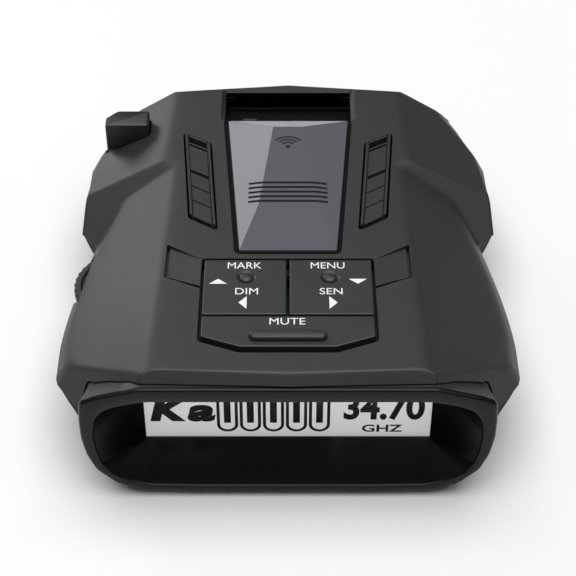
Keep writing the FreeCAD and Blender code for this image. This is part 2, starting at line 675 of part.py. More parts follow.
def bottom_cover():
    piece = Piece("bottom_cover")
    sections = case_sections()
    piece.loft("Additive", [(sec[0], lower_outline(sec, 0.0, s.parting_height)) for sec in sections])
    piece.loft("Subtractive", cavity(sections, lower_outline, s.parting_height + 1))
    floor = s.wall / 2
    piece.drum("XY_Plane", CASE_SCREWS, s.post_radius, s.parting_height - floor, offset=floor)
    piece.drum("XY_Plane", STANDOFFS, s.standoff_radius, s.board_height - floor, offset=floor)
    spring_place = [(-s.spring_out, (button_near + button_far) / 2)]
    piece.drum("XY_Plane", spring_place, s.spring_post_radius, s.spring_post_height - floor, offset=floor)
    piece.bore("XY_Plane", CASE_SCREWS, s.screw_radius + s.screw_clearance, s.parting_height, reverse=True)
    piece.bore("XY_Plane", CASE_SCREWS, s.screw_head_radius + s.screw_clearance, s.screw_head_depth,
               reverse=True)
    piece.bore("XY_Plane", STANDOFFS, s.small_screw_radius, s.small_screw_length, offset=s.board_height)
    # Openings: power and audio sockets on the right, data socket on the left, nose window, label and wheel.
    power = hood + s.power_along
    piece.pocket("YZ_Plane", rectangle(power - s.power_half - s.seat_gap, power + s.power_half + s.seat_gap,
                                       s.power_bottom - s.seat_gap, s.board_height), half,
                 offset=s.socket_face - s.socket_recess, reverse=True)
    piece.bore("YZ_Plane", [(hood + s.audio_along, s.audio_height)], s.audio_collar + s.seat_gap, half,
               offset=s.audio_face - s.audio_collar_length - s.lip_wall, reverse=True)
    usb = hood + s.usb_along
    usb_low = s.board_height - s.usb_height
    piece.pocket("YZ_Plane", rectangle(usb - s.usb_half - s.fit_gap, usb + s.usb_half + s.fit_gap,
                                       usb_low - s.fit_gap, s.board_height + s.fit_gap), half,
                 offset=-(s.usb_face - s.socket_recess))
    piece.pocket("XZ_Plane", nose_window_outline(s.seat_gap), 2 * s.wall + s.lip_wall,
                 offset=-(nose + s.lip_wall), reverse=True)
    piece.pocket("XY_Plane", label_outline(s.seat_gap), s.label_thickness, reverse=True)
    wheel_room(piece)
    return piece


# Display end.

def mouth_outline(grow_side, grow_top, grow_bottom):
    """The eight-sided mouth of the hood, widened at the sides, the top and the bottom."""
    return mirrored([
        (s.mouth_flat + grow_bottom / 2, s.mouth_bottom - grow_bottom),
        (s.mouth_half - 1 + grow_side, s.mouth_knee - grow_bottom / 2),
        (s.mouth_half + grow_side, s.mouth_shoulder + grow_top / 3),
        (s.mouth_flat + grow_top / 3, s.mouth_top + grow_top),
    ])


def display_outline(margin):
    """The visible display, widened by a margin, with the same eight corners as the mouth."""
    corner = 1
    return mirrored([
        (s.display_half + margin - corner, s.display_bottom - margin),
        (s.display_half + margin, s.display_bottom - margin + corner),
        (s.display_half + margin, s.display_top + margin - corner),
        (s.display_half + margin - corner, s.display_top + margin),
    ])


def display_bezel():
    piece = Piece("display_bezel")
    piece.pad("XZ_Plane", mouth_outline(s.rim_side, s.rim_top, s.rim_bottom), s.bezel_plate,
              offset=-hood, reverse=True)
    plate_far = hood + s.bezel_plate
    run = s.bezel_plate / s.hood_depth
    throat = mirrored([
        (s.mouth_flat + s.bezel_wall / 2, s.mouth_bottom + run),
        (s.mouth_half - 1 + s.bezel_wall - run * (s.mouth_half - s.display_half), s.mouth_knee),
        (s.mouth_half + s.bezel_wall - run * (s.mouth_half - s.display_half), s.mouth_shoulder),
        (s.mouth_flat, s.mouth_top + s.bezel_wall),
    ])
    piece.loft("Additive", [(plate_far, throat), (display_y, display_outline(s.bezel_wall))])
    piece.loft("Subtractive", [(hood, mouth_outline(0.0, 0.0, 0.0)), (display_y, display_outline(0.0))])
    return piece


def display_stack():
    """Lens, panel and light guide, one behind the other in their holder."""
    margin = s.display_border
    side = s.display_half + margin
    bottom, top = s.display_bottom - margin, s.display_top + margin / 2
    gap = s.seat_gap
    box("display_lens", (-side, display_y + gap, bottom), (side, lens_far - gap, top))
    box("lcd_panel", (-side, lens_far, bottom), (side, panel_far - gap, top))
    box("lcd_backlight", (-side, panel_far, bottom), (side, backlight_far, top))
    skin = s.holder_wall
    outer = box("lcd_holder_block", (-side - gap - skin, display_y + gap, bottom - gap - skin),
                (side + gap + skin, backlight_far + skin + gap, top + gap), keep=False)
    hollow = box("lcd_holder_room", (-side - gap, display_y - gap, bottom - gap),
                 (side + gap, backlight_far + gap, top + 2 * gap), keep=False)
    cut("lcd_holder", outer, [hollow])


# Deck pieces.

def nose_window_outline(margin):
    return rectangle(-s.nose_window_half - margin, s.nose_window_half + margin,
                     s.nose_window_bottom - margin, s.nose_window_top + margin)


def label_outline(margin):
    return rectangle(-s.label_half - margin, s.label_half + margin, -s.label_length / 2 - margin,
                     s.label_length / 2 + margin)


def button_outline(margin):
    """The button's head from above, with its outer corner towards the nose cut off."""
    outer, inner = -button_outer - margin, -button_inner + margin
    return [(inner, button_near - margin), (outer, button_near - margin),
            (outer, button_far - s.button_cant), (outer + s.button_cant, button_far + margin),
            (inner, button_far + margin)]


def button_neck_outline(margin):
    return rectangle(-button_outer + s.button_neck - margin, -button_inner + margin,
                     button_near - margin, button_far + margin)


def catch_outline(margin):
    middle = nose - s.catch_back
    return rectangle(-s.catch_out - s.catch_half - margin, -s.catch_out + s.catch_half + margin,
                     middle - s.catch_half - margin, middle + s.catch_half + margin)


def hinged_key(label, side):
    """One of the two upper keys: a plate hinged at its far edge, with a nub on it and a stem under it."""
    piece = Piece(label)
    inner, outer = s.key_gap / 2, s.key_half
    points = [(side * inner, s.key_split + s.key_gap / 2), (side * outer, s.key_split + s.key_gap / 2),
              (side * outer, s.key_far), (side * inner, s.key_far)]
    piece.pad("XY_Plane", points, s.key_plate, on_deck=True, reverse=True)
    piece.drum("XY_Plane", [(side * s.nub_out, s.nub_along)], s.nub_radius, s.key_proud + s.fit_gap,
               on_deck=True)
    rib = [(side * 2 * inner, s.key_far - s.key_plate), (side * (outer - s.wall), s.key_far - s.key_plate),
           (side * (outer - s.wall), s.key_far), (side * 2 * inner, s.key_far)]
    piece.pad("XY_Plane", rib, frame_depth - s.fit_gap, on_deck=True, reverse=True)
    stem(piece, side * s.nub_out, s.stem_along)
    return piece


def stem(piece, x, along):
    """A round stem from a key's underside down to its switch's plunger."""
    piece.drum("XY_Plane", [(x, brim + along)], s.stem_radius,
               deck_z(brim + along) - stem_foot - s.key_plate / 2, offset=stem_foot)


def mute_key():
    piece = Piece("mute_key")
    points = mirrored([
        (s.mute_near_half, s.mute_near),
        (s.key_half, s.mute_side_near),
        (s.key_half, s.key_split - s.key_gap / 2),
    ])
    piece.pad("XY_Plane", points, s.key_plate, on_deck=True, reverse=True)
    bar = rectangle(-s.mute_near_half + s.stem_radius, s.mute_near_half - s.stem_radius,
                    s.mute_near + s.key_plate, s.mute_near + 2 * s.key_plate)
    piece.pad("XY_Plane", bar, s.key_proud + s.fit_gap, on_deck=True)
    stem(piece, 0.0, s.mute_stem_along)
    return piece


def keypad_frame():
    """The frame that hangs from the deck on four pegs and carries the hinged edges of the keys."""
    piece = Piece("keypad_frame")
    margin = s.key_gap + s.wall
    piece.pad("XY_Plane", key_field(margin), frame_depth + s.lip_wall, on_deck=True, reverse=True)
    piece.pocket("XY_Plane", key_field(margin), frame_depth, on_deck=True)
    piece.pocket("XY_Plane", key_field(-s.wall / 2), frame_depth + 2 * s.lip_wall, on_deck=True)
    peg_out, peg_radius = s.key_half + s.key_gap + s.wall / 2, s.wall / 2 - s.seat_gap
    pegs = [(side * peg_out, along) for side in (-1, 1)
            for along in (s.mute_side_near + s.wall, s.key_far - s.wall)]
    sketch = piece.circles(piece.sketch("XY_Plane", on_deck=True), pegs, peg_radius)
    drums = piece.grow("Pad", sketch, frame_depth + s.lip_wall / 2, reverse=True)
    drums.Refine = True
    piece.pocket("XY_Plane", key_field(2 * margin), s.wall + s.seat_gap, on_deck=True)
    return piece


def top_window():
    piece = Piece("top_window")
    lift = s.window_seat - s.seat_gap
    piece.pad("XY_Plane", window_outline(0.0), lift, on_deck=True, reverse=True)
    piece.pad("XY_Plane", window_outline(-s.window_gap), s.window_thickness - lift, on_deck=True)
    sound_slots(piece, s.window_thickness)
    sound_slots(piece, s.window_thickness, reverse=True)
    return piece


def vent_insert(label, side):
    piece = Piece(label)
    piece.pad("XY_Plane", vent_outline(side, 0.0), s.vent_seat - s.seat_gap, on_deck=True, reverse=True)
    piece.pad("XY_Plane", vent_outline(side, -s.seat_gap), s.vent_proud, on_deck=True)
    return piece


# Release button, latch and spring.

def release_button():
    piece = Piece("release_button")
    piece.pad("XY_Plane", button_neck_outline(0.0), s.button_top - latch_top, offset=latch_top)
    piece.pad("XY_Plane", button_outline(0.0), s.button_top - s.button_head, offset=s.button_head)
    return piece


def mount_latch():
    """The arm from under the button to the catch that rises through the bracket slot's floor."""
    piece = Piece("mount_latch")
    middle = (button_near + button_far) / 2
    arm = rectangle(-button_inner - 2 * s.wall, -s.catch_out + s.catch_half,
                    middle - s.catch_half - s.fit_gap, middle + s.catch_half + s.fit_gap)
    piece.pad("XY_Plane", arm, s.latch_thickness, offset=latch_bottom)
    leg = rectangle(-s.catch_out - s.catch_half, -s.catch_out + s.catch_half, middle, nose - s.catch_back)
    piece.pad("XY_Plane", leg, s.latch_thickness, offset=latch_bottom)
    piece.pad("XY_Plane", catch_outline(0.0), s.bracket_floor + s.latch_catch_rise - latch_bottom,
              offset=latch_bottom)
    return piece


def release_spring():
    """A coil spring that stands on the lower cover's post and pushes the latch up."""
    wire = s.spring_wire.value / 2
    base = s.spring_post_height.value + wire + s.seat_gap.value
    length = latch_bottom.value - s.seat_gap.value - wire - base
    radius = s.spring_radius.value
    helix = Part.makeHelix(length / s.spring_turns.value, length, radius)
    start = helix.Edges[0].valueAt(helix.Edges[0].FirstParameter)
    heading = helix.Edges[0].tangentAt(helix.Edges[0].FirstParameter)
    section = Part.Wire([Part.makeCircle(wire, start, heading)])
    coil = Part.Wire(helix.Edges).makePipeShell([section], True, True)
    feature = doc.addObject("Part::Feature", "release_spring")
    feature.Label = "release_spring"
    feature.Shape = coil
    middle = (button_near.value + button_far.value) / 2
    feature.Placement = FreeCAD.Placement(V(-s.spring_out.value, middle, base), FreeCAD.Rotation())
    NODES.append(feature)


# Volume control.

def volume_wheel():
    piece = Piece("volume_wheel")
    axis = [(wheel_x, wheel_y)]
    piece.drum("XY_Plane", axis, s.wheel_radius, s.wheel_thickness, offset=s.wheel_bottom)
    piece.bore("XY_Plane", axis, s.shaft_radius, s.wheel_thickness - s.lip_wall, offset=s.wheel_bottom,
               reverse=True)
    flute = piece.circles(piece.sketch("XY_Plane", s.wheel_bottom),
                          [(wheel_x - s.wheel_radius - s.fit_gap / 2, wheel_y)], s.shaft_radius / 3)
    first = piece.grow("Pocket", flute, s.wheel_thickness, reverse=True)
    pattern = piece.body.newObject("PartDesign::PolarPattern", "volume_wheel_flutes")
    pattern.Originals = [first]
    centre = piece.circles(piece.sketch("XY_Plane", s.wheel_bottom), axis, s.shaft_radius)
    pattern.Axis = (centre, ["N_Axis"])
    return piece, pattern


def volume_control():
    """The potentiometer on the main board, and the shaft that the wheel turns."""
    centre = (wheel_x, wheel_y)
    low = (centre[0] - s.control_half, centre[1] - s.control_half, board_top)
    high = (centre[0] + s.control_half, centre[1] + s.control_half, board_top + s.control_height)
    block = box("volume_control_block", low, high, keep=False)
    bore = rod("volume_control_bore", (centre[0], centre[1], board_top + s.lip_wall),
               s.shaft_radius + s.shaft_clearance, s.control_height, keep=False)
    cut("volume_control", block, [bore])
    shaft_low = board_top + s.lip_wall + s.seat_gap
    shaft_high = s.wheel_bottom + s.wheel_thickness - s.lip_wall
    rod("volume_shaft", (centre[0], centre[1], shaft_low), s.shaft_radius, shaft_high - shaft_low)


# Boards and electronics.

STANDOFFS = [(side * s.standoff_out, hood + s.board_near + along)
             for side in (-1, 1) for along in (s.standoff_near, s.board_length - s.standoff_radius * 2)]
switch_top = key_board_top + s.switch_height
stem_foot = switch_top + s.key_travel + s.seat_gap
KEY_SWITCHES = [
    ("mark", -s.nub_out, brim + s.stem_along),
    ("menu", s.nub_out, brim + s.stem_along),
    ("mute", Size(0, "0"), brim + s.mute_stem_along),
]


def main_board():
    piece = Piece("main_board")
    near = hood + s.board_near
    outline = rectangle(-board_half, board_half, near, near + s.board_length)
    piece.pad("XY_Plane", outline, s.board_thickness, offset=s.board_height)
    piece.bore("XY_Plane", REAR_SCREWS, s.post_radius + s.fit_gap, s.board_thickness * 2, offset=board_top)
    piece.bore("XY_Plane", STANDOFFS, s.small_screw_radius + s.screw_clearance, s.board_thickness * 2,
               offset=board_top)
    return piece


def board_parts():
    """What stands on the main board: shielding can, processor, capacitors and the ribbon socket."""
    far = hood + s.board_near + s.board_length
    can_low = (-s.can_half, far - s.can_length - s.wall, board_top)
    can_high = (s.can_half, far - s.wall, board_top + s.can_height)
    skin = s.can_skin
    outer = box("shield_can_block", can_low, can_high, keep=False)
    room = box("shield_can_room", (can_low[0] + skin, can_low[1] + skin, board_top - skin),
               (can_high[0] - skin, can_high[1] - skin, can_high[2] - skin), keep=False)
    cut("shield_can", outer, [room])
    near = hood + s.board_near
    chip_near = near + s.ribbon_length + s.chip_gap
    box("processor", (-s.chip_side / 2, chip_near, board_top),
        (s.chip_side / 2, chip_near + s.chip_side, board_top + s.chip_height))
    box("ribbon_socket", (-s.ribbon_half, near + s.lip_wall, board_top),
        (s.ribbon_half, near + s.lip_wall + s.ribbon_length, board_top + s.ribbon_height))
    radius, height = s.capacitor_radius.value, s.capacitor_height.value
    place = V(s.chip_side.value, chip_near.value + radius, board_top.value)
    cans = [Part.makeCylinder(radius, height, place + V(step * 2.4 * radius, 0, 0)) for step in (0.5, 1.5)]
    group("capacitors", cans)


def key_board():
    near = hood + s.key_board_near
    board = box("key_board_blank", (-s.key_board_half, near, s.key_board_height),
                (s.key_board_half, near + s.key_board_length, key_board_top), keep=False)
    holes = [rod(f"key_board_hole_{i}", (x, y, s.key_board_height - s.lip_wall),
                 s.small_screw_radius + s.screw_clearance, 3 * s.key_board_thickness, keep=False)
             for i, (x, y) in enumerate(key_board_screws())]
    cut("key_board", board, holes)


def key_board_screws():
    near = hood + s.key_board_near
    inset = s.small_head_radius + s.lip_wall
    return [(side * (s.key_board_half - inset), near + s.key_board_length - inset) for side in (-1, 1)]


def key_switches():
    """A tact switch under each key, with a plunger that stays in touch with the key's stem."""
    for name, x, y in KEY_SWITCHES:
        block = box(f"{name}_switch_block", (x - s.switch_half, y - s.switch_half, key_board_top),
                    (x + s.switch_half, y + s.switch_half, switch_top), keep=False)
        well = rod(f"{name}_switch_well", (x, y, switch_top - s.plunger_room),
                   s.plunger_radius + s.plunger_gap, 2 * s.plunger_room, keep=False)
        cut(f"{name}_switch", block, [well])
        sunk = s.plunger_room / 3
        rod(f"{name}_plunger", (x, y, switch_top - sunk), s.plunger_radius, stem_foot - switch_top + sunk)


def speaker():
    """Basket with its magnet, and a cone that faces the sound slots."""
    piece = Piece("speaker_basket")
    axis = [(0.0, speaker_y)]
    rim_low = s.speaker_top - s.speaker_rim
    piece.drum("XY_Plane", axis, s.speaker_radius, s.speaker_rim, offset=rim_low)
    piece.drum("XY_Plane", axis, s.speaker_radius - s.wall, rim_low - speaker_bottom, offset=speaker_bottom)
    piece.bore("XY_Plane", axis, s.speaker_radius - 2 * s.wall, s.speaker_height - s.lip_wall,
               offset=s.speaker_top)
    rod("speaker_magnet", (0.0, speaker_y, speaker_bottom - s.magnet_height), s.magnet_radius,
        s.magnet_height)
    cone = doc.addObject("Part::Cone", "speaker_cone")
    cone.Label = "speaker_cone"
    outer = s.speaker_radius - 2 * s.wall - s.seat_gap
    bind(cone, "Radius1", outer / 3)
    bind(cone, "Radius2", outer)
    bind(cone, "Height", s.speaker_height - 2 * s.lip_wall)
    for axis_name, place in zip("yz", (speaker_y, speaker_bottom + s.lip_wall + s.seat_gap)):
        bind(cone, f"Placement.Base.{axis_name}", place)
    NODES.append(cone)


# Nose.

def horn_antenna():
    """A flared metal horn, open towards the nose, closed at its throat."""
    piece = Piece("horn_antenna")
    front = nose - s.horn_front_back
    back = front - s.horn_length
    middle, skin = s.horn_centre, s.horn_skin
    rise = (s.horn_top - s.horn_bottom) / 4

    def frame(spread, lift, inset):
        return rectangle(middle - spread + inset, middle + spread - inset, s.horn_bottom + lift + inset,
                         s.horn_top - lift - inset)

    piece.loft("Additive", [(back, frame(s.horn_throat_half, rise, 0.0)),
                            (front, frame(s.horn_mouth_half, 0.0, 0.0))])
    piece.loft("Subtractive", [(back + skin, frame(s.horn_throat_half, rise, skin)),
                               (front + skin, frame(s.horn_mouth_half, 0.0, skin))])
    return piece


def antenna_module():
    back = nose - s.horn_front_back - s.horn_length
    box("antenna_module", (s.horn_centre - s.horn_mouth_half, back - s.keel_inset, s.horn_bottom),
        (s.horn_centre + s.horn_mouth_half, back - s.seat_gap, s.board_height - s.seat_gap))


def laser_receiver():
    front = nose - s.horn_front_back
    low, high = s.nose_window_bottom, s.nose_window_top
    box("laser_module", (s.laser_centre - s.laser_half, front - s.keel_inset, low),
        (s.laser_centre + s.laser_half, front, high))
    lens = doc.addObject("Part::Sphere", "laser_lens_ball")
    lens.Radius = value_of(s.laser_half)
    bind(lens, "Radius", s.laser_half)
    middle = (low + high) / 2
    for axis, place in zip("xyz", (s.laser_centre, front, middle)):
        bind(lens, f"Placement.Base.{axis}", place)
    left, right = s.laser_centre - 2 * s.laser_half, s.laser_centre + 2 * s.laser_half
    behind = box("laser_lens_cut", (left, front - 2 * s.laser_half, low - half),
                 (right, front + s.seat_gap, high + half), keep=False)
    limit = nose - s.nose_window_thickness - s.fit_gap
    ahead = box("laser_lens_trim", (left, limit, low - half), (right, nose + half, high + half), keep=False)
    cut("laser_lens", lens, [behind, ahead])


def nose_window():
    piece = Piece("nose_window")
    piece.pad("XZ_Plane", nose_window_outline(0.0), s.nose_window_thickness, offset=-nose)
    return piece


# Sockets.

def power_socket():
    middle = hood + s.power_along
    face, back = s.socket_face, s.socket_face - s.power_depth
    block = box("power_socket_block", (back, middle - s.power_half, s.power_bottom),
                (face, middle + s.power_half, s.board_height - s.seat_gap), keep=False)
    low = s.power_bottom + s.lip_wall
    well = box("power_socket_well", (back + s.wall, middle - s.power_well_half, low),
               (face + s.wall, middle + s.power_well_half, low + s.power_well_height), keep=False)
    cut("power_socket", block, [well])


def audio_socket():
    middle = hood + s.audio_along
    face = s.audio_face
    back, shoulder = face - s.audio_depth, face - s.audio_collar_length
    block = box("audio_socket_block", (back, middle - s.audio_half, s.audio_height - s.audio_half),
                (shoulder, middle + s.audio_half, s.audio_height + s.audio_half), keep=False)
    collar_bar = rod("audio_socket_collar", (back + s.lip_wall, middle, s.audio_height), s.audio_collar,
                     s.audio_depth - s.lip_wall, keep=False, along_x=True)
    whole = doc.addObject("Part::Fuse", "audio_socket_whole")
    whole.Base = block
    whole.Tool = collar_bar
    bore = rod("audio_socket_bore", (face - s.audio_bore_depth, middle, s.audio_height), s.audio_radius,
               s.audio_bore_depth + s.wall, keep=False, along_x=True)
    cut("audio_socket", whole, [bore])


def data_socket():
    middle = hood + s.usb_along
    face = -s.usb_face
    low, high = s.board_height - s.usb_height, s.board_height - s.seat_gap
    near, far = middle - s.usb_half, middle + s.usb_half
    block = box("data_socket_block", (face, near, low), (face + s.usb_depth, far, high), keep=False)
    skin = s.usb_skin
    well = box("data_socket_well", (face - s.lip_wall, near + skin, low + skin),
               (face + s.usb_depth - s.lip_wall, far - skin, high - skin), keep=False)
    cut("data_socket", block, [well])


# Fastenings and label.

def pan_screw(radius, length, head_radius, head_height, upwards):
    """A cross-slotted screw: its head's underside is at the origin and its shank runs along +Z or -Z."""
    way = 1 if upwards else -1
    shank = Part.makeCylinder(radius, length, V(), V(0, 0, way))
    head = Part.makeCylinder(head_radius, head_height, V(), V(0, 0, -way))
    slot_width, slot_depth = head_radius / 3, head_height / 2
    screw = shank.fuse(head).removeSplitter()
    for long_x, long_y in ((head_radius * 1.3, slot_width), (slot_width, head_radius * 1.3)):
        low_z = -head_height if upwards else head_height - slot_depth
        screw = screw.cut(Part.makeBox(long_x, long_y, slot_depth, V(-long_x / 2, -long_y / 2, low_z)))
    return screw


def placed(shape, x, y, z):
    copy = shape.copy()
    copy.translate(V(value_of(x), value_of(y), value_of(z)))
    return copy


def fastenings():
    reach = s.boss_top.value - s.wall.value * 2 - s.screw_head_depth.value
    case = pan_screw(s.screw_radius.value, reach, s.screw_head_radius.value, s.screw_head_height.value, True)
    group("case_screws", [placed(case, x, y, s.screw_head_depth) for x, y in CASE_SCREWS])
    small = pan_screw(s.small_screw_radius.value, s.small_screw_length.value, s.small_head_radius.value,
                      s.small_head_height.value, False)
    group("board_screws", [placed(small, x, y, board_top) for x, y in STANDOFFS])


def rating_label():
    piece = Piece("rating_label")
    piece.pad("XY_Plane", label_outline(0.0), s.label_thickness)
    return piece


def build():
    top_cover()
    bottom_cover()
    display_bezel()
    display_stack()
    hinged_key("mark_key", -1)
    hinged_key("menu_key", 1)
    mute_key()
    keypad_frame()
    top_window()
    vent_insert("left_vent", -1)
    vent_insert("right_vent", 1)
    release_button()
    mount_latch()
    release_spring()
    wheel, flutes = volume_wheel()
    volume_control()
    main_board()
    board_parts()
    key_board()
    key_switches()
    speaker()
    horn_antenna()
    antenna_module()
    laser_receiver()
    nose_window()
    power_socket()
    audio_socket()
    data_socket()
    fastenings()
    rating_label()
    doc.recompute()
    flutes.Angle = 360
    bind(flutes, "Occurrences", s.wheel_flutes)
    flutes.Occurrences = int(s.wheel_flutes.value)
    wheel.body.Tip = flutes
    doc.recompute()


def check():
    """Stop if any object failed, any sub-part is empty or invalid, or a cut took nothing away."""
    for thing in doc.Objects:
        if "Invalid" in thing.State or "Error" in thing.State:
            raise RuntimeError(f"{thing.Label} did not build: {thing.State}")
        if thing.TypeId in ("PartDesign::Pocket", "PartDesign::SubtractiveLoft"):
            before = thing.BaseFeature.Shape.Volume
            if thing.Shape.Volume > before - 1e-3:
                raise RuntimeError(f"{thing.Label} cuts nothing")
    for node in NODES:
        if node.Shape.isNull() or not node.Shape.isValid():
            raise RuntimeError(f"{node.Label} has no valid shape")


def write():
    os.makedirs("parts", exist_ok=True)
    for node in NODES:
        node.Shape.exportStep(f"parts/{node.Label}.step")
    print(len(NODES), "sub-parts written")


build()
check()
write()
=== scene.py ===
import json
import math

import bmesh
import bpy
import numpy as np
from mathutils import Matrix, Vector


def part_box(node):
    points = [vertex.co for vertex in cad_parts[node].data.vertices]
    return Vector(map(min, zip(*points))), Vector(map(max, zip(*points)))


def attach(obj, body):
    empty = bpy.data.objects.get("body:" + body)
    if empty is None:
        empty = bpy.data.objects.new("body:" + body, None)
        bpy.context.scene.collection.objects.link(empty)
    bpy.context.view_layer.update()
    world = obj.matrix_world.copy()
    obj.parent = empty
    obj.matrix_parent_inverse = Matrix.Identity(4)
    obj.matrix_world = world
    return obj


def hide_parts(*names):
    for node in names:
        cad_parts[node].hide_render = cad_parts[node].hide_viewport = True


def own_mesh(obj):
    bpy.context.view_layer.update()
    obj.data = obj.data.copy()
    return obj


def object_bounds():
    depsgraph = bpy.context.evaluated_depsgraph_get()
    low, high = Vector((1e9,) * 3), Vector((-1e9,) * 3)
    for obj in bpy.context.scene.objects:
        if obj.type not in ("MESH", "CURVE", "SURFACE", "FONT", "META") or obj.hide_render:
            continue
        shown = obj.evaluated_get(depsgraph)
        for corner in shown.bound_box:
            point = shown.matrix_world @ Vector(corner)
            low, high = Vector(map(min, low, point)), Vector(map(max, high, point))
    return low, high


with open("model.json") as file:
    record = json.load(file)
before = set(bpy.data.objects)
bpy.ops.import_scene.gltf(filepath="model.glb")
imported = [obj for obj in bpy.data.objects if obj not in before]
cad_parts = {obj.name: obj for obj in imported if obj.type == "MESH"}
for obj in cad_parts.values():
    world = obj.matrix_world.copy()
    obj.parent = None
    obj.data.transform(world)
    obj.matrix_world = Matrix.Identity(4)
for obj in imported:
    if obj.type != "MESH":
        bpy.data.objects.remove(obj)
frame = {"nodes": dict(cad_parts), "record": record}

bl_info = {
    "name": "Radar Detector",
    "version": (1, 0, 0),
    "blender": (4, 5, 0),
    "location": "View3D > Sidebar > Detector",
    "description": "Builds the look of a radar detector round its packed frame",
    "category": "Object",
}

MM = 0.001
NODES = frame["nodes"]
CAD_LOW, CAD_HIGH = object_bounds()
PRINT = 0.03 * MM      # thickness of printed marks
ADD, CUT = "UNION", "DIFFERENCE"


def middle(node):
    """Centre of a node's box."""
    low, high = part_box(node)
    return (low + high) / 2


# Sizes and colours that a user would change.

def length(title, millimetres, meaning):
    """A size in metres, from its default in millimetres."""
    return bpy.props.FloatProperty(name=title, description=meaning, default=millimetres * MM,
                                   subtype="DISTANCE", unit="LENGTH", precision=5)


def number(title, value, meaning):
    """A plain number."""
    return bpy.props.FloatProperty(name=title, description=meaning, default=value)


def power(title, watts, meaning):
    """A lamp's power in watts."""
    return bpy.props.FloatProperty(name=title, description=meaning, default=watts, unit="POWER")


def colour(title, red, green, blue, meaning):
    """A colour in linear light."""
    return bpy.props.FloatVectorProperty(name=title, description=meaning, subtype="COLOR", size=3,
                                         default=(red, green, blue), min=0, max=1)


class CaseSizes(bpy.types.PropertyGroup):
    """Sizes of the two covers."""
    deck: length("Deck", 29.3, "Height of the deck's ridge at the display end")
    deck_slope: number("Deck slope", 0.0354, "Height the deck loses per length")
    parting: length("Parting", 15.5, "Height of the joint between the covers")
    parting_gap: length("Parting gap", 0.3, "Open joint between the covers")
    wall: length("Wall", 1.7, "Wall of the covers")
    half: length("Half width", 40, "Half of the case's width")
    waist: length("Waist", 4.4, "How far the sides draw in at the waist")
    ridge: length("Ridge", 0.5, "Softness of the ridge between deck and side slope")
    crease: length("Crease", 0.13, "Softness of the other edges")


class HoodSizes(bpy.types.PropertyGroup):
    """Sizes of the display hood."""
    rim: length("Rim rounding", 0.5, "Rounding of the hood's front edges")
    gap: length("Hood gap", 0.3, "Shadow gap between the hood and the covers")
    display_half: length("Display half width", 24.7, "Half width of the visible display")
    display_low: length("Display foot", 5.7, "Bottom of the visible display")
    display_high: length("Display head", 20, "Top of the visible display")


class KeySizes(bpy.types.PropertyGroup):
    """Sizes of the keys and their legends."""
    gap: length("Key gap", 0.5, "Gap round the keys")
    rise: length("Key rise", 0.45, "How far the near edges of the keys stand above the deck")
    legend: length("Legend height", 1.15, "Cap height of the legends before they are stretched")


class Finishes(bpy.types.PropertyGroup):
    """Colours of the main finishes."""
    case: colour("Case", 0.0150, 0.0153, 0.0160, "Matt case plastic")
    # The hood's near-black is partly its own satin black and partly painted shade for its inside.
    hood: colour("Hood", 0.0016, 0.0016, 0.0019, "Satin hood plastic")
    keys: colour("Keys", 0.0165, 0.0168, 0.0178, "Matt key plastic")
    window: colour("Window", 0.074, 0.077, 0.087, "Smoked gloss plastic")
    legend: colour("Legends", 0.72, 0.72, 0.72, "Printed legends")
    display: colour("Display", 0.62, 0.63, 0.63, "Pale display glass")


class StageSizes(bpy.types.PropertyGroup):
    """Camera and light."""
    distance: length("Camera distance", 316, "Camera to the point it looks at")
    elevation: bpy.props.FloatProperty(
        name="Camera elevation", description="Angle above the horizon", default=math.radians(44),
        subtype="ANGLE", unit="ROTATION")
    key_light: power("Key light", 1.0, "Power of the low light behind on the left")
    fill_light: power("Fill light", 0.16, "Power of the higher light behind")
    top_light: power("Top light", 22.0, "Power of the light overhead")
    sky_light: number("Sky light", 0.6, "Strength of the sky straight above")


# Meshes.

def outward(vertices, faces, closed):
    """True where the faces point outwards: a closed skin has a positive volume, the sum of
    a . (b x c) / 6 over its corners, and an open one faces away from its middle."""
    a, b, c = (vertices[faces[:, k]] for k in range(3))
    if closed:
        d = vertices[faces[:, 3]]
        six = np.einsum("ij,ij->i", a, np.cross(b, c)) + np.einsum("ij,ij->i", a, np.cross(c, d))
        return six.sum() > 0
    normal = np.cross(b - a, c - a)
    return np.einsum("ij,ij->i", normal, (a + c) / 2 - vertices.mean(axis=0)).sum() > 0


def skin(name, grid, wrap=True, capped=True):
    """A mesh over a grid of points, rows by columns. Four neighbouring points make a face. With
    wrap the last column joins the first, and with capped one face closes each end row."""
    rows, columns, _ = grid.shape
    vertices = grid.reshape(-1, 3)
    row = np.arange(rows - 1)[:, None] * columns
    across = np.arange(columns if wrap else columns - 1)[None, :]
    beside = (across + 1) % columns
    faces = np.stack([row + across, row + beside, row + columns + beside, row + columns + across],
                     axis=-1).reshape(-1, 4)
    first, last = vertices[:columns], vertices[-columns:]
    flip = not outward(np.vstack([vertices, first.mean(axis=0), last.mean(axis=0)]),
                       np.vstack([faces, fan(columns, rows)]) if capped else faces, capped or wrap)
    if flip:
        faces = faces[:, ::-1]
    polygons = faces.tolist()
    if capped:
        start = np.arange(columns)
        end = start + (rows - 1) * columns
        polygons += [(start if flip else start[::-1]).tolist(),
                     (end[::-1] if flip else end).tolist()]
    mesh = bpy.data.meshes.new(name)
    mesh.from_pydata(vertices.tolist(), [], polygons)
    mesh.update()
    return mesh


def fan(columns, rows):
    """The two end caps as four-cornered faces round a middle point each, for measuring only."""
    around = np.arange(columns)
    beside = (around + 1) % columns
    foot = np.full(columns, rows * columns)
    head = np.full(columns, rows * columns + 1)
    top = around + (rows - 1) * columns
    return np.vstack([np.stack([beside, around, foot, foot], axis=-1),
                      np.stack([top, top[beside], head, head], axis=-1)])


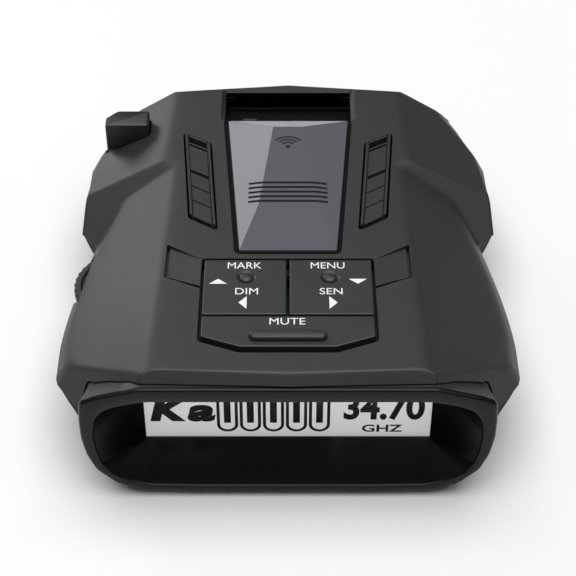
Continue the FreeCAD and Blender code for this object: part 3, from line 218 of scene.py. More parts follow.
def thing(name, mesh):
    """An object for a mesh, at the origin and unturned."""
    item = bpy.data.objects.new(name, mesh)
    bpy.context.scene.collection.objects.link(item)
    return item


def settle(item):
    """Replaces an object's mesh with what its modifiers make of it."""
    graph = bpy.context.evaluated_depsgraph_get()
    made = bpy.data.meshes.new_from_object(item.evaluated_get(graph))
    item.modifiers.clear()
    item.data = made
    return item


def combine(item, *steps):
    """Adds or cuts away other solids in turn. Each step is an operation and the solid's mesh."""
    tools = []
    for operation, mesh in steps:
        tool = thing("tool", mesh)
        step = item.modifiers.new("step", "BOOLEAN")
        step.operation = operation
        step.solver = "EXACT"
        step.object = tool
        tools.append(tool)
    settle(item)
    for tool in tools:
        bpy.data.objects.remove(tool)
    return item


SAME_PLACE = 1e-6      # points nearer than this are one


def tidy(item):
    """Merges points that lie on each other and turns every face outwards."""
    work = bmesh.new()
    work.from_mesh(item.data)
    bmesh.ops.remove_doubles(work, verts=work.verts, dist=SAME_PLACE)
    bmesh.ops.dissolve_degenerate(work, edges=work.edges, dist=SAME_PLACE / 10)
    bmesh.ops.recalc_face_normals(work, faces=work.faces)
    work.to_mesh(item.data)
    work.free()


def close_foot(item):
    """Closes the open edge of a mesh with one face."""
    work = bmesh.new()
    work.from_mesh(item.data)
    rim = [edge for edge in work.edges if edge.is_boundary]
    bmesh.ops.holes_fill(work, edges=rim, sides=0)
    work.to_mesh(item.data)
    work.free()


def closed_ring(grid):
    """A band whose last row meets its first."""
    item = thing("band", skin("band", grid, capped=False))
    tidy(item)
    return item


def shade(item, degrees=28):
    """Smooth shading with the edges above an angle kept sharp."""
    item.data.polygons.foreach_set("use_smooth", np.ones(len(item.data.polygons), dtype=bool))
    item.data.set_sharp_from_angle(angle=math.radians(degrees))
    return item


def soften(item, width, degrees):
    """A narrow one-step bevel along every edge above an angle."""
    bevel = item.modifiers.new("edges", "BEVEL")
    bevel.width = width
    bevel.segments = 1
    bevel.limit_method = "ANGLE"
    bevel.angle_limit = math.radians(degrees)
    return settle(item)


def joined(name, items):
    """One object that holds the meshes of several."""
    work = bmesh.new()
    for item in items:
        work.from_mesh(item.data)
    mesh = bpy.data.meshes.new(name)
    work.to_mesh(mesh)
    work.free()
    for item in items:
        bpy.data.objects.remove(item)
    return thing(name, mesh)


def finish_piece(item, body, slot, material, *replaced):
    """Gives a piece its body and material, and hides the nodes that it stands for. slot is not
    used.
    """
    item.data.materials.clear()
    item.data.materials.append(material)
    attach(item, body)
    if replaced:
        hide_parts(*replaced)
    return item


# Outlines in a plane.

def corners(points, radius, steps=5):
    """A closed outline whose corners are parabolas: from S, one radius before each corner P, to E,
    one radius after it, (1-t)^2 S + 2 t (1-t) P + t^2 E."""
    here = np.array(points, dtype=float)
    before = np.roll(here, 1, axis=0) - here
    after = np.roll(here, -1, axis=0) - here
    start = here + before / np.linalg.norm(before, axis=1, keepdims=True) * radius
    end = here + after / np.linalg.norm(after, axis=1, keepdims=True) * radius
    t = np.linspace(0, 1, steps)[None, :, None]
    curve = (1 - t) ** 2 * start[:, None] + 2 * t * (1 - t) * here[:, None] + t ** 2 * end[:, None]
    return curve.reshape(-1, 2)


def grown(outline, distance):
    """An outline moved outwards along its normals, its tangents turned by a right angle."""
    if not distance:
        return outline
    after, before = np.roll(outline, -1, axis=0), np.roll(outline, 1, axis=0)
    tangent = after - before
    tangent /= np.linalg.norm(tangent, axis=1, keepdims=True)
    normal = np.stack([tangent[:, 1], -tangent[:, 0]], axis=-1)
    x, y = outline[:, 0], outline[:, 1]
    turn = np.sum(x * np.roll(y, -1) - y * np.roll(x, -1))
    return outline + normal * distance * np.sign(turn)


def mirrored(half):
    """A closed outline from its right half, listed from the near end to the far one."""
    return half + [(-x, y) for x, y in reversed(half) if x > 0]


def on_side(points, side):
    """Points of the right side, or of the left one in the order that keeps their sense."""
    placed = [(side * x, y) for x, y in points]
    return placed if side > 0 else placed[::-1]


def circle(x, y, radius, count=32):
    """Points (x + r cos a, y + r sin a)."""
    a = np.linspace(0, 2 * math.pi, count, endpoint=False)
    return np.stack([x + radius * np.cos(a), y + radius * np.sin(a)], axis=-1)


def box_outline(x0, y0, x1, y1, radius=0.2 * MM):
    """A rectangle with rounded corners."""
    return corners([(x0, y0), (x1, y0), (x1, y1), (x0, y1)], radius)


def deck_height(y):
    """Height of the deck: its ridge's height less its slope times the way from the ridge."""
    case = bpy.context.scene.case_sizes
    ridge = CAD_LOW.y + 2.4 * MM
    return case.deck - case.deck_slope * (y - ridge)


def standing(outline, profile, on_deck=True, tilt=None):
    """Rings over an outline: each (height, growth) of the profile is the outline grown by growth,
    at that height above the deck, or above the plane z = 0. tilt(x, y) adds to the height."""
    rings = []
    for height, growth in profile:
        ring = grown(outline, growth)
        z = (deck_height(ring[:, 1]) if on_deck else np.zeros(len(ring))) + height
        if tilt is not None:
            z = z + tilt(ring[:, 0], ring[:, 1])
        rings.append(np.column_stack([ring, z]))
    return np.stack(rings)


def section(outline, y):
    """An (x, z) outline in the plane across the case at y."""
    return np.column_stack([outline[:, 0], np.full(len(outline), y), outline[:, 1]])


def sideways(outline, profile):
    """Rings in planes across the case: an (x, z) outline, grown, at each y of the profile."""
    return np.stack([section(grown(outline, growth), y) for y, growth in profile])


def athwart(outline, profile):
    """Rings in planes along the case: a (y, z) outline, grown, at each x of the profile."""
    rings = [(grown(outline, growth), x) for x, growth in profile]
    return np.stack([np.column_stack([np.full(len(ring), x), ring]) for ring, x in rings])


def well(outline, mouth):
    """A cutter that goes down from the deck over an outline, with a chamfer at its mouth."""
    foot, head = -9 * MM, 6 * MM
    return skin("well", standing(outline, [(foot, 0), (-mouth, 0), (mouth, 2 * mouth),
                                           (head, 2 * mouth)]))


def over_deck(tilt):
    """Turns arrays of x, y and a height out into points above the deck, raised by tilt(x, y)."""
    def place(across, along, out):
        return np.stack([across, along, deck_height(along) + tilt(across, along) + out], axis=-1)
    return place


# The covers: in each section across the case, a direction from the middle of the parting plane
# meets every face a x + b z = c at a distance c / (a cos + b sin), and the skin is a soft minimum
# of these distances.

def reach(a, b, c, side, up, inset=0.0):
    """Distance to the face a |x| + b z = c, moved in by inset, along (side, up). It is far where
    they never meet."""
    far, least = 1.0, 1e-4
    along = a * np.abs(side) + b * up
    c = c - inset * np.hypot(a, b)
    return np.where(along > least, c / np.maximum(along, least), far).clip(0.5 * MM, far)


def soft_min(softness, *lengths):
    """-k log(sum(exp(-r / k))), a minimum that is rounded over about k."""
    stack = np.stack(np.broadcast_arrays(*lengths))
    least = stack.min(axis=0)
    return least - softness * np.log(np.exp(-(stack - least) / softness).sum(axis=0))


def soft_max(softness, *lengths):
    """The same for a maximum."""
    return -soft_min(softness, *[-r for r in lengths])


def through(*points):
    """The plane n . p = d through three points, as (n, d) with n pointing up or outwards."""
    a, b, c = (np.array(p) * MM for p in points)
    normal = np.cross(b - a, c - a)
    normal /= np.linalg.norm(normal)
    if normal @ a < 0:
        normal = -normal
    return normal, normal @ a


def plane_reach(plane, y, base, side, up, inset=0.0):
    """reach() for a plane in space, in the section at y with its middle at the height base."""
    normal, d = plane
    return reach(normal[0], normal[2], d - inset - normal[1] * y - normal[2] * base, side, up)


def main_half(y):
    """Half width of the case between the hood and the waist: it keeps its full width, then draws in
    along a power of the way to the waist, and goes on to the nose."""
    case = bpy.context.scene.case_sizes
    start, run = -27 * MM, 27.3 * MM
    way = np.clip((y - start) / run, 0, 1.4)
    return case.half - case.waist * way ** 1.5


def shoulder_half(y):
    """Half width of the shoulders at the parting plane, with straight runs between its corners."""
    corner_y, corner_x = np.array([[4.1, 10.5, 22, 34.5, 47], [38.8, 38.7, 38.4, 34, 20]]) * MM
    return np.interp(y, corner_y, corner_x)


def shoulder_lean(y):
    """Inward lean of the shoulder's lower facet, per height."""
    corner_y = np.array([8.8, 16.4, 21.9, 32.6, 47]) * MM
    return np.interp(y, corner_y, [0.11, 0.31, 0.53, 0.76, 0.42])


# The covers' slanting faces, each through three corners of the case, in millimetres.
SIDE_SLOPE = through((22.8, -44.5, 29.3), (38.6, -33.3, 18.8), (20.5, 10, 27.5))
CORNER_FACET = through((24, -43.9, 29.3), (38.5, -33.2, 19), (35.2, -41.7, 15.5))
END_CHAMFER = through((0, -44.9, 29.35), (0, -46.6, 27.4), (23.2, -43.9, 29.35))
SHOULDER_TOP = through((22.7, 11.6, 27.3), (38.3, 8.8, 19.5), (29.4, 32.6, 22.5))
SHOULDER_FRONT = through((22.7, 11.6, 27.3), (33.2, 6.8, 20), (35.6, 0.2, 15.5))
NOSE_SLOPE = through((0, 35.5, 26.5), (0, 47, 17.5), (22.4, 33.4, 26.5))
FRONT_KEEL = through((0, -46.4, 1.5), (10, -46.4, 1.5), (0, -42.0, 0))
NOSE_CORNER = through((22.4, 33.4, 26.5), (29.4, 32.6, 22.5), (19.2, 47, 17.5))


def upper_reach(y, side, up, base, inset=0.0):
    """Skin of the upper cover: the body between side slopes and walls, with the shoulders added,
    then cut by the deck, the corner facets, the end chamfer and the nose. inset moves them in."""
    case = bpy.context.scene.case_sizes
    soft, wall_lean = case.crease, 0.55

    def plane(face):
        return plane_reach(face, y, base, side, up, inset)

    def row(a, b, c):
        return reach(a, b, c, side, up, inset)

    body = soft_min(3 * soft, plane(SIDE_SLOPE), row(1, wall_lean, main_half(y)))
    shoulder = soft_min(soft, plane(SHOULDER_TOP), plane(SHOULDER_FRONT),
                        row(1, shoulder_lean(y), shoulder_half(y)))
    sides = soft_max(2 * soft, body, shoulder)
    top = soft_min(case.ridge, sides, row(0, 1, deck_height(y) - base))
    return soft_min(soft, top, plane(CORNER_FACET), plane(END_CHAMFER), plane(NOSE_SLOPE),
                    plane(NOSE_CORNER))


def lower_reach(y, side, up, base, inset=0.0):
    """Skin of the lower cover: a side in two leans, a keel facet, the flat underside, the corner
    facet and the front keel. From y = 0 the side swells out to the shoulder along a square."""
    case = bpy.context.scene.case_sizes
    swell, run = 3.2 * MM, 4.1 * MM
    waist_half = main_half(y) + swell * np.clip(y / run, 0, 1) ** 2
    half = np.where(y < run, waist_half, shoulder_half(y))
    blend = 6 * case.crease

    def row(a, b, c):
        return reach(a, b, c, side, up, inset)

    return soft_min(blend, row(1, -0.17, half + 0.1 * MM), row(1, -0.43, half + 1.2 * MM),
                    row(0.86, -0.51, 0.86 * half + 2.7 * MM), row(0, -1, base),
                    row(0.711, -0.25, 43.97 * MM + 0.451 * y),
                    plane_reach(FRONT_KEEL, y, base, side, up, inset))


def shell(name, reach_of, base, first, last):
    """A cover's wall. Rows run along the case and are closer at both ends. Each row goes over the
    skin from one side of the parting plane to the other, and back under it one wall further in.
    The last rows are full, and draw in to round the nose."""
    case = bpy.context.scene.case_sizes
    turn = np.linspace(first, last, 260)
    flatness = 2.4
    side, up = np.cos(turn) * flatness, np.sin(turn)
    size = np.hypot(side, up)
    side, up = side / size, up / size
    nose = CAD_HIGH.y
    ends = np.array([CAD_LOW.y + 0.6 * MM, CAD_LOW.y + 3 * MM, CAD_LOW.y + 12 * MM, -2 * MM,
                     14 * MM, 32 * MM, nose - case.wall, nose - 0.5 * MM])
    counts = [28, 18, 24, 52, 16, 28, 4]
    y = np.concatenate([np.linspace(a, b, n, endpoint=False)
                        for a, b, n in zip(ends, ends[1:], counts)])
    y = np.append(y, ends[-1])
    outer = reach_of(y[:, None], side[None, :], up[None, :], base)
    inner = reach_of(y[:, None], side[None, :], up[None, :], base, case.wall)
    inner = np.minimum(inner, outer - 0.3 * case.wall) * (y < nose - case.wall - 0.1 * MM)[:, None]
    drawn_in = np.array([0.993, 0.985, 0.965])
    outer = np.concatenate([outer, outer[-1:] * drawn_in[:, None]])
    inner = np.concatenate([inner, np.zeros((len(drawn_in), len(turn)))])
    y = np.append(y, ends[-1] + np.array([0.3, 0.45, 0.5]) * MM)
    r = np.concatenate([outer, inner[:, ::-1]], axis=1)
    across = np.concatenate([side, side[::-1]])
    above = np.concatenate([up, up[::-1]])
    grid = np.stack([r * across, np.broadcast_to(y[:, None], r.shape), base + r * above], axis=-1)
    item = thing(name, skin(name, grid))
    tidy(item)
    return item


# The hood's outer outline is one thing up to HOOD_NEAR and another from HOOD_FAR on. Its lower part
# is the same all along. Each is the right half, in millimetres.
HOOD_NEAR, HOOD_FAR = -46.2 * MM, -39.6 * MM
HOOD_FOOT = [(15.2, 1.5), (24.7, 1.9), (29.3, 3.6), (32.6, 7.2), (34, 11.2), (34.6, 15.4)]
HOOD_FRONT = [(34.6, 19.8), (34.2, 24), (31.6, 25.2), (27.8, 26.3), (24.2, 27.3)]
HOOD_BACK = [(34.4, 18), (33.5, 20.5), (31.2, 21.6), (27.6, 23.2), (23.2, 25.6)]


def hood_outline(top):
    """Outer (x, z) outline of the hood, from the middle of its foot round to its top. The top
    corners are square at the rim and cut away at the back, so that a facet runs down from each to
    the case."""
    return corners([(x * MM, z * MM) for x, z in mirrored(HOOD_FOOT + top)], 0.8 * MM, 6)


def hood_well():
    """Cutter for the opening round the hood, which follows its outline from rim to back."""
    gap = bpy.context.scene.hood_sizes.gap
    front, back = grown(hood_outline(HOOD_FRONT), gap), grown(hood_outline(HOOD_BACK), gap)
    ends = [(front, CAD_LOW.y - 9 * MM), (front, HOOD_NEAR), (back, HOOD_FAR), (back, -37 * MM)]
    return skin("mouth", np.stack([section(outline, y) for outline, y in ends]))


def key_field(shadow=0.0):
    """(x, y) outline of the three keys, with the near edge moved out by its shadow gap."""
    low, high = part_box("mute_key")
    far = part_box("mark_key")[1].y
    near = low.y - shadow
    return mirrored([(8 * MM, near), (high.x, near + 2.5 * MM), (high.x, far)])


def window_corners():
    """(x, y) corners of the glossy window, near left, near right, far right and far left."""
    low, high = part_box("top_window")
    near_half = 8.6 * MM
    return [(-near_half, low.y), (near_half, low.y), (high.x, high.y), (low.x, high.y)]


def vent_corners(side):
    """(x, y) corners of a vent insert: near inner, near outer, far outer and far inner."""
    low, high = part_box("right_vent")
    slant_near, slant_far = 3.2 * MM, 3 * MM
    return on_side([(low.x, low.y), (high.x - 2 * MM, low.y + slant_near), (high.x, high.y),
                    (low.x + 1.9 * MM, high.y - slant_far)], side)


def button_outline():
    """(x, y) outline of the release button's head, with its outer far corner cut."""
    low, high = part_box("release_button")
    cant = 2.2 * MM
    return [(low.x, low.y), (high.x, low.y), (high.x, high.y), (low.x + cant, high.y),
            (low.x, high.y - cant)]


# Right half of a wing, the facet beside a key's far corner: its edges at the key and further out.
WING_NEAR, WING_FAR = -24.6 * MM, -17.1 * MM
WING_OUT, WING_OUT_NEAR, WING_OUT_FAR = 21.4 * MM, -21.5 * MM, -12.9 * MM
WING_FLARE = 0.1 * MM


def wing(side):
    """A wing, as a wedge that cuts deeper by a slope towards its outer edge."""
    half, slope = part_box("mute_key")[1].x + 0.4 * MM, 0.11
    points = [(half, WING_NEAR), (WING_OUT, WING_OUT_NEAR), (WING_OUT - WING_FLARE, WING_OUT_FAR),
              (half, WING_FAR)]
    outline = corners(on_side(points, side), 0.15 * MM, 3)
    return skin("wing", standing(outline, [(0, 0), (4 * MM, 0)],
                                 tilt=lambda x, y: -slope * (np.abs(x) - half)))


def wing_groove(side):
    """The dark line along a wing's near and outer edges."""
    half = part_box("mute_key")[1].x + 0.2 * MM
    wide = 0.55 * MM
    points = [(half, WING_NEAR), (WING_OUT, WING_OUT_NEAR), (WING_OUT - WING_FLARE, WING_OUT_FAR),
              (WING_OUT - WING_FLARE - wide, WING_OUT_FAR - 0.3 * MM),
              (WING_OUT - wide, WING_OUT_NEAR + wide), (half, WING_NEAR + wide)]
    outline = corners(on_side(points, side), 0.05 * MM, 3)
    return skin("wing_groove", standing(outline, [(-1.5 * MM, 0), (4 * MM, 0)]))


# The bracket slot: half width, near and far ends, and height of its floor.
SLOT_HALF, SLOT_NEAR, SLOT_FAR, SLOT_FLOOR = 12.2 * MM, 24.5 * MM, 34.2 * MM, 21.5 * MM


def slot_tub():
    """Block that walls the bracket slot, and the cutters of the slot and its tunnel to the nose."""
    wall, bevel = 1.5 * MM, 0.9 * MM
    outer = box_outline(-SLOT_HALF - wall, SLOT_NEAR - wall, SLOT_HALF + wall, SLOT_FAR + 0.7 * MM)
    inner = box_outline(-SLOT_HALF, SLOT_NEAR, SLOT_HALF, SLOT_FAR, 0.4 * MM)
    across = box_outline(-SLOT_HALF, SLOT_FLOOR, SLOT_HALF, SLOT_FLOOR + 3 * MM, 0.3 * MM)
    rise = deck_height(SLOT_NEAR) - SLOT_FLOOR
    block = skin("block", standing(outer, [(-rise - wall, 0), (-0.5 * MM, 0)]))
    slot = skin("slot", standing(inner, [(-rise, 0), (-bevel, 0), (0.2 * MM, 1.1 * bevel),
                                         (6 * MM, 1.1 * bevel)]))
    tunnel = skin("tunnel", sideways(across, [(SLOT_FAR - 1 * MM, 0), (CAD_HIGH.y + 2 * MM, 0)]))
    return block, slot, tunnel


def wheel_slot():
    """Cutter for the volume wheel's opening, which goes through both covers."""
    low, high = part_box("volume_wheel")
    centre, play = (low + high) / 2, 0.5 * MM
    disc = circle(centre.x, centre.y, (high.x - low.x) / 2 + play, 64)
    return skin("wheel_slot", standing(disc, [(low.z - 0.4 * MM, 0), (high.z + play, 0)],
                                       on_deck=False))


def make_top_cover():
    """The upper cover: its skin with the bracket slot added, and every opening cut through it."""
    case = bpy.context.scene.case_sizes
    item = shell("upper_case", upper_reach, case.parting + case.parting_gap / 2, 0, math.pi)
    block, slot, tunnel = slot_tub()

    def opening(outline, gap):
        return grown(corners(outline, 0.3 * MM), gap)

    cutters = [hood_well(), slot, tunnel,
               well(opening(key_field(0.35 * MM), bpy.context.scene.key_sizes.gap), 0.12 * MM),
               well(opening(window_corners(), 0.8 * MM), 0.1 * MM),
               well(opening(vent_corners(-1), 0.35 * MM), 0.05 * MM),
               well(opening(vent_corners(1), 0.35 * MM), 0.05 * MM),
               skin("button_well", standing(opening(button_outline(), 0.35 * MM),
                                            [(18.6 * MM, 0), (40 * MM, 0)], on_deck=False)),
               wheel_slot(), wing(-1), wing(1), wing_groove(-1), wing_groove(1)]
    combine(item, (ADD, block), *[(CUT, cutter) for cutter in cutters])
    shade(item)
    finish_piece(item, "case", "case_black", FINISH["case"], "top_cover")
    # The slot's inside gets painted shade.
    return paint_slot_shade(item)


def paint_slot_shade(item):
    """Paints shade into the inside of the bracket slot: its faces below the bevel get the
    near-black painted-shade finish.
    """
    mesh = item.data
    mesh.materials.append(FINISH["recess"])
    centre = np.empty(len(mesh.polygons) * 3)
    mesh.polygons.foreach_get("center", centre)
    x, y, z = centre.reshape(-1, 3).T
    slot_shade_mask = ((np.abs(x) < SLOT_HALF + 0.2 * MM) & (y > SLOT_NEAR - 0.1 * MM)
               & (y < SLOT_FAR + 1.8 * MM) & (z < deck_height(y) - 1.15 * MM))
    mesh.polygons.foreach_set("material_index", slot_shade_mask.astype(np.int32))
    return item


def socket_window(node):
    """Block and cutter that frame a socket in the side of the lower cover."""
    low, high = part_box(node)
    side = 1 if middle(node).x > 0 else -1
    face = high.x if side > 0 else low.x
    reveal, wall = 0.15 * MM, 1.2 * MM
    outline = box_outline(low.y - reveal, low.z - reveal, high.y + reveal, high.z + reveal,
                          0.4 * MM)

    def block(around, start, end):
        return skin("block", athwart(around, [(face + side * start, 0), (face + side * end, 0)]))

    return block(grown(outline, wall), -0.4 * MM, 2.6 * MM), block(outline, -3 * MM, 12 * MM)


SCREW_PLACES = np.array([(-29.4, -28.4), (29.4, -28.4), (-28, 14), (28, 14)]) * MM


def make_bottom_cover():
    """The lower cover: its skin with a frame round each socket, and every opening cut in it."""
    case = bpy.context.scene.case_sizes
    item = shell("lower_case", lower_reach, case.parting - case.parting_gap / 2, -math.pi, 0)
    steps = [(CUT, hood_well())]
    for node in ("power_socket", "audio_socket", "data_socket"):
        block, cutter = socket_window(node)
        steps += [(ADD, block), (CUT, cutter)]
    low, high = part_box("nose_window")
    pane = grown(box_outline(low.x, low.z, high.x, high.z, 1 * MM), 0.12 * MM)
    steps.append((CUT, skin("pane", sideways(pane, [(low.y - 2 * MM, 0), (high.y + 3 * MM, 0)]))))
    sink = [(-2 * MM, 0.3 * MM), (0, 0.3 * MM), (0.3 * MM, 0), (2.4 * MM, 0)]
    for x, y in SCREW_PLACES:
        hole = standing(circle(x, y, 2.25 * MM), sink, on_deck=False)
        steps.append((CUT, skin("screw_hole", hole)))
    (left, near, _), (right, far, _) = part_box("rating_label")
    gap = 0.1 * MM
    recess = box_outline(left - gap, near - gap, right + gap, far + gap, 0.6 * MM)
    steps.append((CUT, skin("recess", standing(recess, [(-2 * MM, 0), (0.3 * MM, 0)],
                                               on_deck=False))))
    combine(item, *steps, (CUT, wheel_slot()))
    shade(item)
    return finish_piece(item, "case", "case_black", FINISH["case"], "bottom_cover")


# The hood and the display.

def mouth_outline():
    """Inner (x, z) outline of the hood's mouth, with as many points as the outer one."""
    half = [(15.2, 3.2), (23.8, 3.4), (27.1, 4.6), (30.1, 6.6), (31.5, 9), (32.2, 12.6),
            (32.4, 16.4), (31.9, 19.8), (30.6, 22), (27.9, 23.3), (23.4, 24.3)]
    return corners([(x * MM, z * MM) for x, z in mirrored(half)], 0.9 * MM, 6)


def display_outline(margin=0.0):
    """The visible display's (x, z) outline, with a point for each point of the mouth: the middle
    points of each side lie on the rectangle's sides, and the others gather at its corners."""
    hood = bpy.context.scene.hood_sizes
    right = hood.display_half + margin
    low, high = hood.display_low - margin, hood.display_high + margin
    small = 0.02 * MM
    half = [(15.2 * MM, low), (right - 8 * small, low), (right - 6 * small, low),
            (right - 4 * small, low), (right - small, low + small), (right, low + 4 * small),
            (right, high - 8 * small), (right, high - 6 * small), (right, high - 4 * small),
            (right - 3 * small, high), (22.5 * MM, high)]
    return corners(mirrored(half), small / 3, 6)


def make_hood():
    """The hood: rings from the display out through the funnel, over the rim, whose two edges are
    quarter circles, back along the outside and round behind to the display."""
    face, rim = CAD_LOW.y, bpy.context.scene.hood_sizes.rim
    outer, behind, inner = hood_outline(HOOD_FRONT), hood_outline(HOOD_BACK), mouth_outline()
    panel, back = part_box("display_lens")[0].y, face + 10.5 * MM
    quarter = np.linspace(0, math.pi / 2, 5)
    rings = [(display_outline(), panel), (display_outline(), panel - 0.25 * MM),
             (inner, face + rim)]
    rings += [(grown(inner, rim * 0.6 * (1 - math.cos(a))), face + rim * (1 - math.sin(a)))
              for a in quarter[1:]]
    rings += [(grown(outer, -rim * (1 - math.sin(a))), face + rim * (1 - math.cos(a)))
              for a in quarter]
    rings += [(outer, HOOD_NEAR), (behind, HOOD_FAR), (behind, back),
              (grown(behind, -1 * MM), back), (display_outline(1.2 * MM), panel + 0.7 * MM),
              (display_outline(0.6 * MM), panel + 0.7 * MM), (display_outline(), panel)]
    item = thing("hood", skin("hood", np.stack([section(*ring) for ring in rings]), capped=False))
    tidy(item)
    shade(item, 22)
    finish_piece(item, "case", "hood_black", FINISH["hood"], "display_bezel")
    return match_case(item)


def match_case(item):
    """Gives the hood's outside, past its rim, the finish of the case, while the inside keeps the
    near-black hood finish, which is partly painted shade. A face is outside where its normal points
    away from the hood's middle line."""
    middle_height = 13 * MM
    mesh = item.data
    mesh.materials.append(FINISH["case"])
    centre, normal = np.empty(len(mesh.polygons) * 3), np.empty(len(mesh.polygons) * 3)
    mesh.polygons.foreach_get("center", centre)
    mesh.polygons.foreach_get("normal", normal)
    (x, y, z), (nx, _, nz) = centre.reshape(-1, 3).T, normal.reshape(-1, 3).T
    outside = (x * nx + (z - middle_height) * nz > 0) & (y > HOOD_NEAR)
    mesh.polygons.foreach_set("material_index", outside.astype(np.int32))
    return item


def lettering(text, bold, lean):
    """A text as a solid mesh, in the plane of x and y."""
    curve = bpy.data.curves.new("lettering", "FONT")
    curve.body = text
    curve.size = 1
    curve.extrude = 0.5
    curve.offset = bold
    curve.shear = lean
    curve.resolution_u = 6
    holder = thing("lettering", curve)
    graph = bpy.context.evaluated_depsgraph_get()
    mesh = bpy.data.meshes.new_from_object(holder.evaluated_get(graph))
    bpy.data.objects.remove(holder)
    return mesh


def fitted(text, low, high, place, bold=0.0, lean=0.0):
    """Lettering stretched to a box from low to high in its own plane. place turns arrays of across,
    up and out into points of the case."""
    mesh = lettering(text, bold, lean)
    points = np.empty(len(mesh.vertices) * 3)
    mesh.vertices.foreach_get("co", points)
    points = points.reshape(-1, 3)
    least, most = points.min(axis=0), points.max(axis=0)
    share = (points - least) / (most - least)
    across = low[0] + share[:, 0] * (high[0] - low[0])
    rise = low[1] + share[:, 1] * (high[1] - low[1])
    mesh.vertices.foreach_set("co", place(across, rise, share[:, 2] * PRINT).ravel())
    mesh.update()
    return thing("word", mesh)


def band(outer, inner, place):
    """A flat ring between two outlines of equal length, with a little thickness."""
    rings = []
    for outline, out in ((outer, 0), (outer, PRINT), (inner, PRINT), (inner, 0), (outer, 0)):
        rings.append(place(outline[:, 0], outline[:, 1], np.full(len(outline), out)))
    return closed_ring(np.stack(rings))


def plate(outline, place):
    """A printed mark over an outline."""
    rings = [place(*outline.T, np.full(len(outline), out)) for out in (0, PRINT)]
    return thing("plate", skin("plate", np.stack(rings)))


def make_display():
    """The panel's dark marks: a band name, five level bars and a frequency, on the pale glass."""
    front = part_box("lcd_panel")[0].y - 0.01 * MM

    def on_glass(across, rise, out):
        return np.stack([across, front - out, rise], axis=-1)

    # Each word, the box it fills as left, foot, right and head in millimetres, its bolder stroke
    # and its lean.
    words = [("K", -23.9, 8.9, -17, 14.8, 0.06, 0.2), ("a", -17.4, 8.8, -12.5, 13.1, 0.05, 0.15),
             ("34.70", 9.6, 9.2, 23.6, 15.6, 0.034, 0), ("GHZ", 12.9, 6.1, 19.9, 8, 0.02, 0)]
    items = [fitted(word, (left * MM, foot * MM), (right * MM, head * MM), on_glass, bold, lean)
             for word, left, foot, right, head, bold, lean in words]
    first, pitch, wide = -10.5 * MM, 3.99 * MM, 0.6 * MM
    for k in range(5):
        x = first + k * pitch
        items.append(band(stadium(x, 6.2 * MM, 1.84 * MM, 18.6 * MM),
                          stadium(x, 6.74 * MM, 1.3 * MM, 18.1 * MM), on_glass))
        bar = box_outline(x - wide, 8.5 * MM, x + wide, 17.4 * MM, 0.05 * MM)
        items.append(plate(bar, on_glass))
    item = joined("display_marks", items)
    return finish_piece(item, "case", "display_glass", FINISH["mark"])


def stadium(x, low, radius, high, count=24):
    """An outline that is round below and above: half circles about (x, low + r) and
    (x, high - r)."""
    a = np.linspace(math.pi, 2 * math.pi, count)
    foot = np.stack([x + radius * np.cos(a), low + radius + radius * np.sin(a)], axis=-1)
    head = np.stack([x - radius * np.cos(a), high - radius - radius * np.sin(a)], axis=-1)
    return np.concatenate([foot, head])


# Keys. Their legends are stretched along the deck, so that they read well from low down.

LEGEND_STRETCH = 1.42
KEY_MIDDLE = 7.2 * MM      # a hinged key's middle, off the case's middle


def key_shape(outline, far, near):
    """A key's body over an outline: a small bevel, and a top that rises towards its near edge."""
    keys = bpy.context.scene.key_sizes
    edge = 0.22 * MM
    profile = [(-1.6 * MM, 0), (-edge, 0), (-edge * 0.3, -edge * 0.3), (0, -edge)]
    return skin("key", standing(outline, profile, tilt=key_tilt(far, near, keys.rise)))


def key_tilt(far, near, rise):
    """Height of a key's top over the deck: it rises evenly from its far edge to its near one."""
    return lambda x, y: rise * (far - y) / (far - near) + 0.05 * MM


def dome(x, y, radius, height, tilt):
    """A round dome on a short skirt: at the angle a its height is height sin a, and its radius is
    radius cos a, bar a last flat."""
    profile = [(-0.6 * MM, 0)] + [(height * math.sin(a), radius * (math.cos(a) - 1) * 0.98)
                                  for a in np.linspace(0, math.pi / 2, 8)]
    return skin("dome", standing(circle(x, y, radius), profile, tilt=tilt))


def dimple(x, y, radius, depth, tilt):
    """A cutter for a shallow round dish."""
    profile = [(-depth, -0.55 * radius), (-depth * 0.8, -0.3 * radius), (0, 0),
               (1 * MM, 0.2 * radius)]
    return skin("dimple", standing(circle(x, y, radius), profile, tilt=tilt))


def arrow(points, place):
    """A printed triangle."""
    return plate(corners(points, 0.08 * MM, 3), place)


